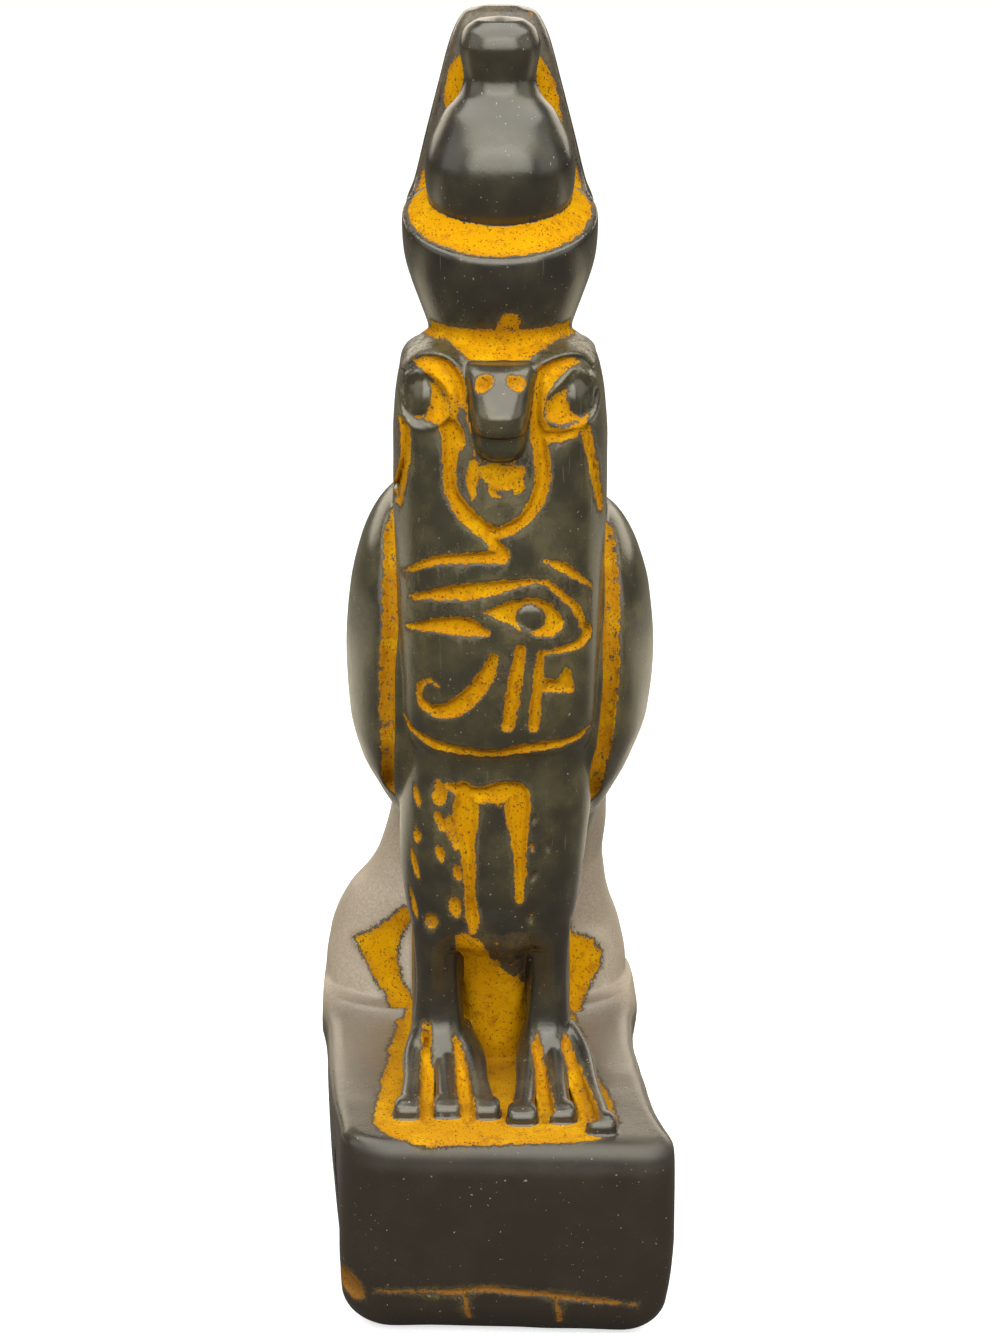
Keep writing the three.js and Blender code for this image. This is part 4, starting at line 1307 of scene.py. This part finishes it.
def pigment_on(clay, front, foot, points, normals):
    """How far inside the pigment each corner lies, in millimetres."""
    x, y, z = points.T
    across = np.abs(x)
    up = (z - PLINTH) / share(1)
    facing = normals[:, 1] < FACING["front"]
    pigment = np.full(len(points), -FAR)

    def within(zone):
        (near, far), (low, high) = ZONES[zone]
        return (y > near) & (y < far) & (z > low) & (z < high)

    def upward(zone):
        return within(zone) & (normals[:, 2] > FACING[zone])

    def brush(inside, where):
        pigment[where] = np.maximum(pigment[where], np.broadcast_to(inside, where.shape)[where])

    between_legs = (across < share(RECESS_REACH)) & (y < share(RECESS_REACH))
    recess = (z > RECESS_FLOOR) & ((z > rise(RECESS_FOOT)) | between_legs)
    depth = (hollowness(clay, points) - RECESS_SHARE) * RECESS_GAIN
    brush(depth - RECESS_LOSS * (z < rise(RECESS_EYES)), recess)
    drawn = np.minimum(front.read(front.pigment, x, z), rise(CARVING_TOP) - z)
    brush(drawn, facing & within("carving"))
    brush(foot.read(foot.pigment, x, z), facing & within("foot"))
    web = facing & within("web") & (across < WEB_REACH)
    brush(inside_outline(in_front(WEB_PIGMENT), x, z), web)
    pigment[web & (inside_outline(in_front(WEB_FILM), x, z) > 0)] = WEB_FILM_LEVEL
    for marks in TAIL_PIGMENT:
        brush(inside_outline(np.array(marks), x, z) * TAIL_WEAR, facing & within("tail"))
    ground = upward("ground")
    brush(inside_outline(np.array(TOP_PIGMENT, float), x, y), ground)
    for path, widths in TOP_STRIPS:
        brush(inside_path(refined(np.column_stack([path, np.array(widths) / 2])), x, y), ground)
    head = upward("head")
    brush(inside_outline(np.array(HEAD_TOP_PIGMENT), x, y), head)
    brush(HEAD_FILM, head)
    (side, before, height), reach = CUP_PATCH
    patch = Egg((share(side), share(before), rise(height)), share(reach))
    brush(-patch.distance(x, y, z, clay.step), facing)

    rim, rim_level = CUP_RIM
    radius = np.hypot(x, (y - share(CUP_MIDDLE)) / CUP_STRETCH)
    lift = z - BOWL_TILT * (y - share(CUP_MIDDLE)) - rise(rim_level)
    brush(np.minimum(share(rim) - radius, lift * BOWL_GAIN), upward("bowl"))
    plate = Form(rows_of(SPIRE), SPIRE_POWER)
    edge = plate.half_at(z) - across
    on_plate = within("plate") & (normals[:, 1] < FACING["plate"])
    for side, (start, low, high) in PLATE_PIGMENT:
        part = (2 * up - low - high) / (high - low)
        where = on_plate & (side * x > 0)
        brush(edge - PLATE_EDGE - np.where(up > start, PLATE_TAPER * part * part, 0), where)
        brush(PLATE_FILM, where)

    for place, distance, reach, painted in clay.marks:
        depth, near = clay.local(place, distance, points)
        if painted:
            pigment[near] = np.maximum(pigment[near], reach - depth)
        else:
            pigment[near] = np.minimum(pigment[near], (depth - reach) * BARE_GAIN / reach)
    return np.clip(pigment, -PIGMENT_LIMIT, PIGMENT_LIMIT)


class Number:
    """A node's output that can be used in sums."""

    def __init__(self, graph, socket):
        self.graph = graph
        self.socket = socket

    def sum(self, operation, first, second):
        return self.graph.node("ShaderNodeMath", {"operation": operation}, {0: first, 1: second})

    def __add__(self, other):
        return self.sum("ADD", self, other)

    def __sub__(self, other):
        return self.sum("SUBTRACT", self, other)

    def __rsub__(self, other):
        return self.sum("SUBTRACT", other, self)

    def __mul__(self, other):
        return self.sum("MULTIPLY", self, other)

    def most(self, other):
        return self.sum("MAXIMUM", self, other)

    __radd__ = __add__
    __rmul__ = __mul__


class Graph:
    """The nodes of one tree."""

    def __init__(self, tree):
        self.tree = tree
        tree.nodes.clear()

    def node(self, kind, settings=None, inputs=None, output=0):
        """Adds a node: first its settings, then the values or links of its inputs."""
        node = self.tree.nodes.new(kind)
        for name, value in (settings or {}).items():
            setattr(node, name, value)
        for key, value in (inputs or {}).items():
            if isinstance(value, Number):
                self.tree.links.new(value.socket, node.inputs[key])
            else:
                node.inputs[key].default_value = value
        return Number(self, node.outputs[output]) if node.outputs else node

    def step(self, value, low, high, start=0.0, end=1.0):
        """Goes smoothly from start to end as a value goes from low to high."""
        inputs = {"Value": value, "From Min": low, "From Max": high, "To Min": start, "To Max": end}
        return self.node("ShaderNodeMapRange", {"interpolation_type": "SMOOTHSTEP"}, inputs)

    def named(self, name, kind):
        return self.node("GeometryNodeInputNamedAttribute", {"data_type": kind}, {"Name": name})

    def mix(self, part, first, second):
        """A colour between two colours, through sockets by number because their names repeat."""
        return self.node("ShaderNodeMix", {"data_type": "RGBA"}, {0: part, 6: first, 7: second}, 2)


def opaque(colour):
    return (*colour, 1.0)


# Noises of the stone: their size in millimetres and their detail.
GRAINS = {"fine": (0.45, 3), "small": (1.7, 3), "middle": (6, 3), "broad": (28, 2), "dust": (0.7, 1)}
STREAK_GRAIN = (0.6, 1)
STREAK_TURN = (0.3, 0.7, 0.2)
STREAK_SCALE = (1, 1, 0.05)

# Between which values each effect fades in, and its strength: by a noise, by how far a place is
# inside the pigment in millimetres, or by the height or the place along Y in metres.
BANDS = {
    "pigment": ("edge", -0.06, 0.12, 1),
    "border": ("edge", -0.55, -0.1, 1),
    "film": ("smear", -1.0, 0.3, 1),
    "thick": ("inside", 0.1, 1.3, 1),
    "low": ("height", 0.045, 0.03, 1),
    "warm patches": ("broad", 0.4, 0.7, 0.5),
    "warm foot": ("height", 0.048, 0.036, 1),
    # The next seven bands mask a painted pale sheen. It is painted reflection on the figure's lower back and
    # tail and on the block's top behind its front, broken by grain and patches.
    "back": ("along", 0.0, 0.02, 1),
    "block back": ("along", -0.05, 0.01, 1),
    "block top": ("height", 0.047, 0.042, 0.6),
    "sheen top": ("height", 0.11, 0.07, 1),
    "sheen foot": ("height", 0.034, 0.042, 1),
    "sheen grain": ("fine", 0.3, 0.7, 0.3),
    "sheen patches": ("broad", 0.3, 0.7, 0.2),
    "body foot": ("height", 0.07, 0.1, 1),
    "body top": ("height", 0.195, 0.18, 1),
    "lip": ("height", 0.033, 0.036, 1),
    "lip front": ("along", -0.046, -0.05, 1),
    "clouds": ("middle", 0.33, 0.8, 1),
    "film grain": ("fine", 0.3, 0.6, 0.8),
    "scratches": ("streak", 0.69, 0.75, 1),
    "scratch patches": ("broad", 0.45, 0.6, 1),
    "dust": ("dust", 0.75, 0.775, 1),
    "bright": ("middle", 0.5, 0.7, 0.6),
    "stained": ("small", 0.52, 0.7, 0.7),
    "specks": ("fine", 0.59, 0.66, 0.9),
}
# The least strength of the painted sheen, between its grain and its patches.
SHEEN_LEAST = 0.55
CLOUDS_LOW = 0.85
CLOUDS_LEAST = 0.3
CLOUDS_ON_BODY = 0.5
SCRATCH_SHARE = 0.2
EDGE_SHARE = 0.85
DULL_SHARE = 0.9

# How noise shifts the pigment's edge and its film, in millimetres, and what adds to the roughness.
EDGE_WOBBLE = 1.3
SMEAR_WOBBLE = 2.2
FINE_WOBBLE = 1.2
LEAST_ROUGHNESS = 0.25
ROUGHNESS = {"grain": 0.2, "film": 0.15, "painted_sheen": 0.25, "border": 0.35, "lip": 0.3}

# The relief of stone and pigment: the fine grain on stone and on pigment, the small grain, scratches.
FINE_BUMPS = (0.12, 0.9)
SMALL_BUMPS = 0.35
SCRATCH_BUMPS = -0.2
STONE_GLOSS = 1.75
POWDER_GLOSS = 1.05
POWDER_ROUGHNESS = 0.8
GLOSS_TINT = (1.0, 0.95, 0.82)
BUMP_STRENGTH = 0.5
BUMP_HEIGHT = 0.2 * MM


def stone_finish(look):
    """Polished dark stone with yellow pigment left in its recesses, and a pale sheen painted on the lower
    back, the tail and the block's top.
    """
    material = bpy.data.materials.new("Dark stone and pigment")
    material.use_nodes = True
    graph = Graph(material.node_tree)
    place = graph.node("ShaderNodeTexCoord", output="Object")

    def grain(size, detail, where=place):
        inputs = {"Vector": where, "Scale": 1 / (size * MM), "Detail": detail}
        return graph.node("ShaderNodeTexNoise", {}, inputs)

    values = {name: grain(*size) for name, size in GRAINS.items()}
    turned = {"Vector": place, "Rotation": STREAK_TURN, "Scale": STREAK_SCALE}
    values["streak"] = grain(*STREAK_GRAIN, graph.node("ShaderNodeMapping", {}, turned))
    for name, axis in (("height", "Z"), ("along", "Y")):
        values[name] = graph.node("ShaderNodeSeparateXYZ", {}, {"Vector": place}, axis)
    fine, small, middle = (values[name] - 0.5 for name in ("fine", "small", "middle"))
    inside = graph.node("ShaderNodeAttribute", {"attribute_name": "pigment"}, output="Fac")
    values["edge"] = inside + small * EDGE_WOBBLE + fine * FINE_WOBBLE
    values["smear"] = inside + middle * SMEAR_WOBBLE + fine * FINE_WOBBLE
    values["inside"] = inside + small

    def band(name):
        source, low, high, strength = BANDS[name]
        return graph.step(values[source], low, high, 0, strength)

    def layered(colour, *layers):
        for part, name in layers:
            colour = graph.mix(part, colour, opaque(getattr(look, name)))
        return colour

    layer, border, film, low = band("pigment"), band("border"), band("film"), band("low")
    body = band("body foot") * band("body top")
    scratch = band("scratches") * band("scratch patches") * (1 - low)
    # Painted reflection: a pale sheen painted on the lower back and tail and on the block's top, fading out
    # below the block's top and above the wings' middle.
    painted_sheen = band("back").most(band("block back") * band("block top")) * band("sheen top")
    painted_sheen = painted_sheen * band("sheen foot") * (band("sheen grain") + band("sheen patches") + SHEEN_LEAST)
    # Pale clouds are random mottling in the stone that also paints the body's soft reflection. They are
    # stronger on the body and fainter near the block.
    clouds = band("clouds") * (1 - low * CLOUDS_LOW) * (body * CLOUDS_ON_BODY + CLOUDS_LEAST)
    stone = layered(
        opaque(look.dark_stone),
        (body, "stone"),
        (band("warm patches").most(band("warm foot")), "warm_stone"),
        (clouds, "pale_mottle_and_sheen"),
        (painted_sheen, "sheen_stone"),
        (film * band("film grain"), "wiped"),
        (scratch * SCRATCH_SHARE, "dust"),
        (band("dust"), "dust"),
        (border * EDGE_SHARE, "edge"),
    )
    pigment = layered(
        opaque(look.pigment),
        (band("thick"), "deep_pigment"),
        (band("bright"), "bright_pigment"),
        (band("stained"), "stained_pigment"),
        (low * DULL_SHARE, "dull_pigment"),
        (band("specks"), "speck"),
    )
    lip = band("lip") * band("lip front")
    parts = {"grain": middle, "film": film, "painted_sheen": painted_sheen, "border": border, "lip": lip}
    rough = sum((part * ROUGHNESS[name] for name, part in parts.items()), LEAST_ROUGHNESS)
    bumps = fine * graph.step(layer, 0, 1, *FINE_BUMPS) + small * SMALL_BUMPS + scratch * SCRATCH_BUMPS
    bump = graph.node(
        "ShaderNodeBump", {}, {"Height": bumps, "Strength": BUMP_STRENGTH, "Distance": BUMP_HEIGHT}
    )
    polished = graph.node("ShaderNodeBsdfPrincipled", {}, {
        "Base Color": stone,
        "Roughness": rough,
        "Normal": bump,
        "IOR": STONE_GLOSS,
        "Specular Tint": opaque(GLOSS_TINT),
    })
    powder = graph.node("ShaderNodeBsdfPrincipled", {}, {
        "Base Color": pigment,
        "Roughness": POWDER_ROUGHNESS,
        "Normal": bump,
        "IOR": POWDER_GLOSS,
    })
    shader = graph.node("ShaderNodeMixShader", {}, {0: layer, 1: polished, 2: powder})
    graph.node("ShaderNodeOutputMaterial", {}, {"Surface": shader})
    return material


def colour_property(name, description, default):
    return bpy.props.FloatVectorProperty(
        name=name, description=description, subtype="COLOR", size=3, min=0, max=1, default=default
    )


class FalconSizes(bpy.types.PropertyGroup):
    """How finely the figure is modelled."""

    step: bpy.props.FloatProperty(
        name="Step", description="Distance between the clay's measuring places", unit="LENGTH",
        precision=5, min=0.0003, max=0.002, default=0.00048,
    )
    triangles: bpy.props.IntProperty(
        name="Triangles", description="The most triangles that the figure keeps",
        min=10000, max=199000, default=190000,
    )


class FalconLook(bpy.types.PropertyGroup):
    """The colours of stone and pigment."""

    stone: colour_property("Stone", "The stone's olive tone", (0.026, 0.024, 0.013))
    dark_stone: colour_property("Dark stone", "The tone of legs and crown", (0.013, 0.012, 0.009))
    warm_stone: colour_property("Warm stone", "The stone's brown tone", (0.017, 0.012, 0.009))
    # Random pale mottling that also stands in for the body's soft reflection.
    pale_mottle_and_sheen: colour_property("Pale stone", "Paler clouds in the stone", (0.07, 0.06, 0.025))
    # A pale sheen painted on the tail and the block's top, standing in for reflection.
    sheen_stone: colour_property("Painted sheen", "The pale worn stone of the tail", (0.36, 0.29, 0.21))
    wiped: colour_property("Wiped stone", "Stone with a thin film of pigment", (0.10, 0.075, 0.012))
    edge: colour_property("Edge", "The dark line round the pigment", (0.022, 0.012, 0.005))
    dust: colour_property("Dust", "Pale specks and scratches", (0.20, 0.18, 0.13))
    pigment: colour_property("Pigment", "Pigment at its edges", (0.38, 0.17, 0.005))
    deep_pigment: colour_property("Deep pigment", "Pigment deep in a recess", (0.46, 0.215, 0.002))
    bright_pigment: colour_property("Bright pigment", "Brighter clouds in it", (0.55, 0.30, 0.003))
    stained_pigment: colour_property("Stained pigment", "Browner clouds in it", (0.30, 0.12, 0.005))
    dull_pigment: colour_property("Dull pigment", "Pigment on the block's front", (0.19, 0.085, 0.02))
    speck: colour_property("Specks", "Small dark specks in it", (0.07, 0.028, 0.008))


class FalconStage(bpy.types.PropertyGroup):
    """The floor, the camera and the lights."""

    floor: colour_property("Floor", "The floor's colour", (0.6, 0.6, 0.59))
    dim_floor: colour_property("Dim floor", "The near floor's colour to thrown light", (0.11, 0.1, 0.085))
    far_floor: colour_property("Far floor", "The far floor's colour to thrown light", (0.58, 0.53, 0.41))
    light: bpy.props.FloatProperty(
        name="Light", description="Brightness of the panel over the figure", min=0, default=3.2
    )
    surround: bpy.props.FloatProperty(
        name="Surround", description="Brightness of the room round the figure", min=0, default=0.12
    )


class FALCON_OT_carve(bpy.types.Operator):
    """Models the falcon on its block in place of the plain solid"""

    bl_idname = "falcon.carve"
    bl_label = "Carve the falcon"

    def execute(self, context):
        scene = context.scene
        clay, front, foot = carve_figure(scene.falcon_sizes)
        points, faces = surface_of(clay)
        if len(faces) == 0:
            raise RuntimeError("the clay has no surface")
        mesh = bpy.data.meshes.new(PIECE)
        mesh.from_pydata(points, [], faces)
        pigment = pigment_on(clay, front, foot, points, clay.outward(points))
        attribute = mesh.attributes.new("pigment", "FLOAT", "POINT")
        attribute.data.foreach_set("value", pigment.astype(np.float32))
        figure = thinned(mesh, PIECE, scene.falcon_sizes.triangles)
        data = figure.data
        data.shade_smooth()
        corners = in_threes(data.vertices, "co", np.float32).astype(float)
        low, high = (np.array(corner) / MM - AXIS for corner in (cad_low, cad_high))
        placed = (np.clip(corners, low, high) + AXIS) * MM
        data.vertices.foreach_set("co", placed.astype(np.float32).ravel())
        data.update()
        data.normals_split_custom_set_from_vertices(clay.outward(corners).astype(np.float32))
        data.materials.append(stone_finish(scene.falcon_look))
        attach(figure, "root")
        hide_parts(NODE)
        return {"FINISHED"}


# The photograph's camera: its place from the falcon's axis, its fall and its lens.
CAMERA_PLACE = (0, -658, 321)
CAMERA_FALL = 17.5
CAMERA_LENS = 128.34
SENSOR = 36.0

# The floor: its reach and where along Y it turns bright and dims again behind the figure, in metres,
# how much brightness stays far off, how it glows to the camera, and its roughness.
FLOOR_REACH = 6.0
FLOOR_BRIGHT = (0.1, 0.25)
FLOOR_DIM = (0.5, 0.35)
FLOOR_FAR = 0.25
FLOOR_GLOW = 0.62
FLOOR_ROUGHNESS = 0.8

# Soft panels, in metres: the place, where each faces, its size, share of the light and colour.
WHITE = (1.0, 1.0, 1.0)
PANELS = {
    "top panel": ((0, -0.35, 0.85), (0, -0.35, 0), (1.9, 1.5), 1, WHITE),
    "front panel": ((0, -1.45, 0.78), (0, 0, 0.15), (3.6, 0.8), 1, WHITE),
    "back panel": ((0, 2.0, 0.68), (0, 0, 0.1), (4.4, 0.8), 0.65, (1.0, 0.9, 0.74)),
    "left panel": ((-1.9, -0.3, 0.7), (0, 0, 0.15), (1.4, 1.0), 0.3, WHITE),
    "right panel": ((1.9, -0.3, 0.7), (0, 0, 0.15), (1.4, 1.0), 0.3, WHITE),
}


def panel(name, place, aim, size, brightness, colour):
    """A soft rectangular light, as bright as this all over."""
    light = bpy.data.lights.new(name, "AREA")
    light.shape = "RECTANGLE"
    light.size, light.size_y = size
    light.energy = brightness * math.pi * size[0] * size[1]
    light.color = colour
    lamp = new_object(name, light)
    lamp.location = place
    lamp.rotation_euler = (Vector(aim) - Vector(place)).to_track_quat("-Z", "Y").to_euler()
    lamp.visible_camera = False


def floor_finish(colour, dim, far):
    """A matt floor, pale to the eye, that throws little light back but from behind the figure."""
    material = bpy.data.materials.new("Pale floor")
    material.use_nodes = True
    graph = Graph(material.node_tree)
    seen = graph.node("ShaderNodeLightPath", output="Is Camera Ray")
    pale = graph.node("ShaderNodeBsdfPrincipled", {}, {
        "Base Color": opaque(colour),
        "Roughness": FLOOR_ROUGHNESS,
        "Emission Color": opaque(WHITE),
        "Emission Strength": FLOOR_GLOW,
    })
    place = graph.node("ShaderNodeTexCoord", output="Object")
    along = graph.node("ShaderNodeSeparateXYZ", {}, {"Vector": place}, "Y")
    bright = graph.step(along, *FLOOR_BRIGHT) * graph.step(along, *FLOOR_DIM, FLOOR_FAR, 1)
    plain = graph.node("ShaderNodeBsdfDiffuse", {}, {"Color": graph.mix(bright, opaque(dim), opaque(far))})
    shader = graph.node("ShaderNodeMixShader", {}, {0: seen, 1: plain, 2: pale})
    graph.node("ShaderNodeOutputMaterial", {}, {"Surface": shader})
    return material


class FALCON_OT_stage(bpy.types.Operator):
    """Sets the floor, the camera and soft light round the falcon"""

    bl_idname = "falcon.stage"
    bl_label = "Set the stage"

    def execute(self, context):
        scene = context.scene
        look = scene.falcon_stage
        ground = bpy.data.meshes.new("floor")
        reach = FLOOR_REACH
        corners = [(-reach, -reach, 0), (reach, -reach, 0), (reach, reach, 0), (-reach, reach, 0)]
        ground.from_pydata(corners, [], [(0, 1, 2, 3)])
        ground.materials.append(floor_finish(look.floor, look.dim_floor, look.far_floor))
        floor = new_object("floor", ground)
        lens = bpy.data.cameras.new("camera")
        lens.sensor_fit = "HORIZONTAL"
        lens.sensor_width = SENSOR
        lens.lens = CAMERA_LENS
        camera = new_object("camera", lens)
        camera.location = (np.array(CAMERA_PLACE) + AXIS) * MM
        camera.rotation_euler = (math.radians(90 - CAMERA_FALL), 0, 0)
        scene.camera = camera
        for name, (place, aim, size, part, colour) in PANELS.items():
            panel(name, place, aim, size, part * look.light, colour)
        world = bpy.data.worlds.new("room")
        world.use_nodes = True
        graph = Graph(world.node_tree)
        inputs = {"Color": opaque(WHITE), "Strength": look.surround}
        room = graph.node("ShaderNodeBackground", {}, inputs)
        graph.node("ShaderNodeOutputWorld", {}, {"Surface": room})
        scene.world = world
        scene.view_settings.view_transform = "Standard"
        return {"FINISHED"}


class FALCON_PT_panel(bpy.types.Panel):
    """Lists the falcon's sizes, colours and steps"""

    bl_label = "Stone Falcon"
    bl_idname = "FALCON_PT_panel"
    bl_space_type = "VIEW_3D"
    bl_region_type = "UI"
    bl_category = "Falcon"

    def draw(self, context):
        for group in (context.scene.falcon_sizes, context.scene.falcon_look, context.scene.falcon_stage):
            column = self.layout.column(align=True)
            for name in group.bl_rna.properties.keys():
                if name not in ("rna_type", "name"):
                    column.prop(group, name)
        self.layout.operator(FALCON_OT_carve.bl_idname)
        self.layout.operator(FALCON_OT_stage.bl_idname)


GROUPS = {"falcon_sizes": FalconSizes, "falcon_look": FalconLook, "falcon_stage": FalconStage}
CLASSES = (*GROUPS.values(), FALCON_OT_carve, FALCON_OT_stage, FALCON_PT_panel)


def register():
    for item in CLASSES:
        bpy.utils.register_class(item)
    for name, group in GROUPS.items():
        setattr(bpy.types.Scene, name, bpy.props.PointerProperty(type=group))


def unregister():
    for name in GROUPS:
        delattr(bpy.types.Scene, name)
    for item in reversed(CLASSES):
        bpy.utils.unregister_class(item)


def main():
    register()
    bpy.ops.falcon.carve()
    bpy.ops.falcon.stage()


if __name__ == "__main__":
    main()
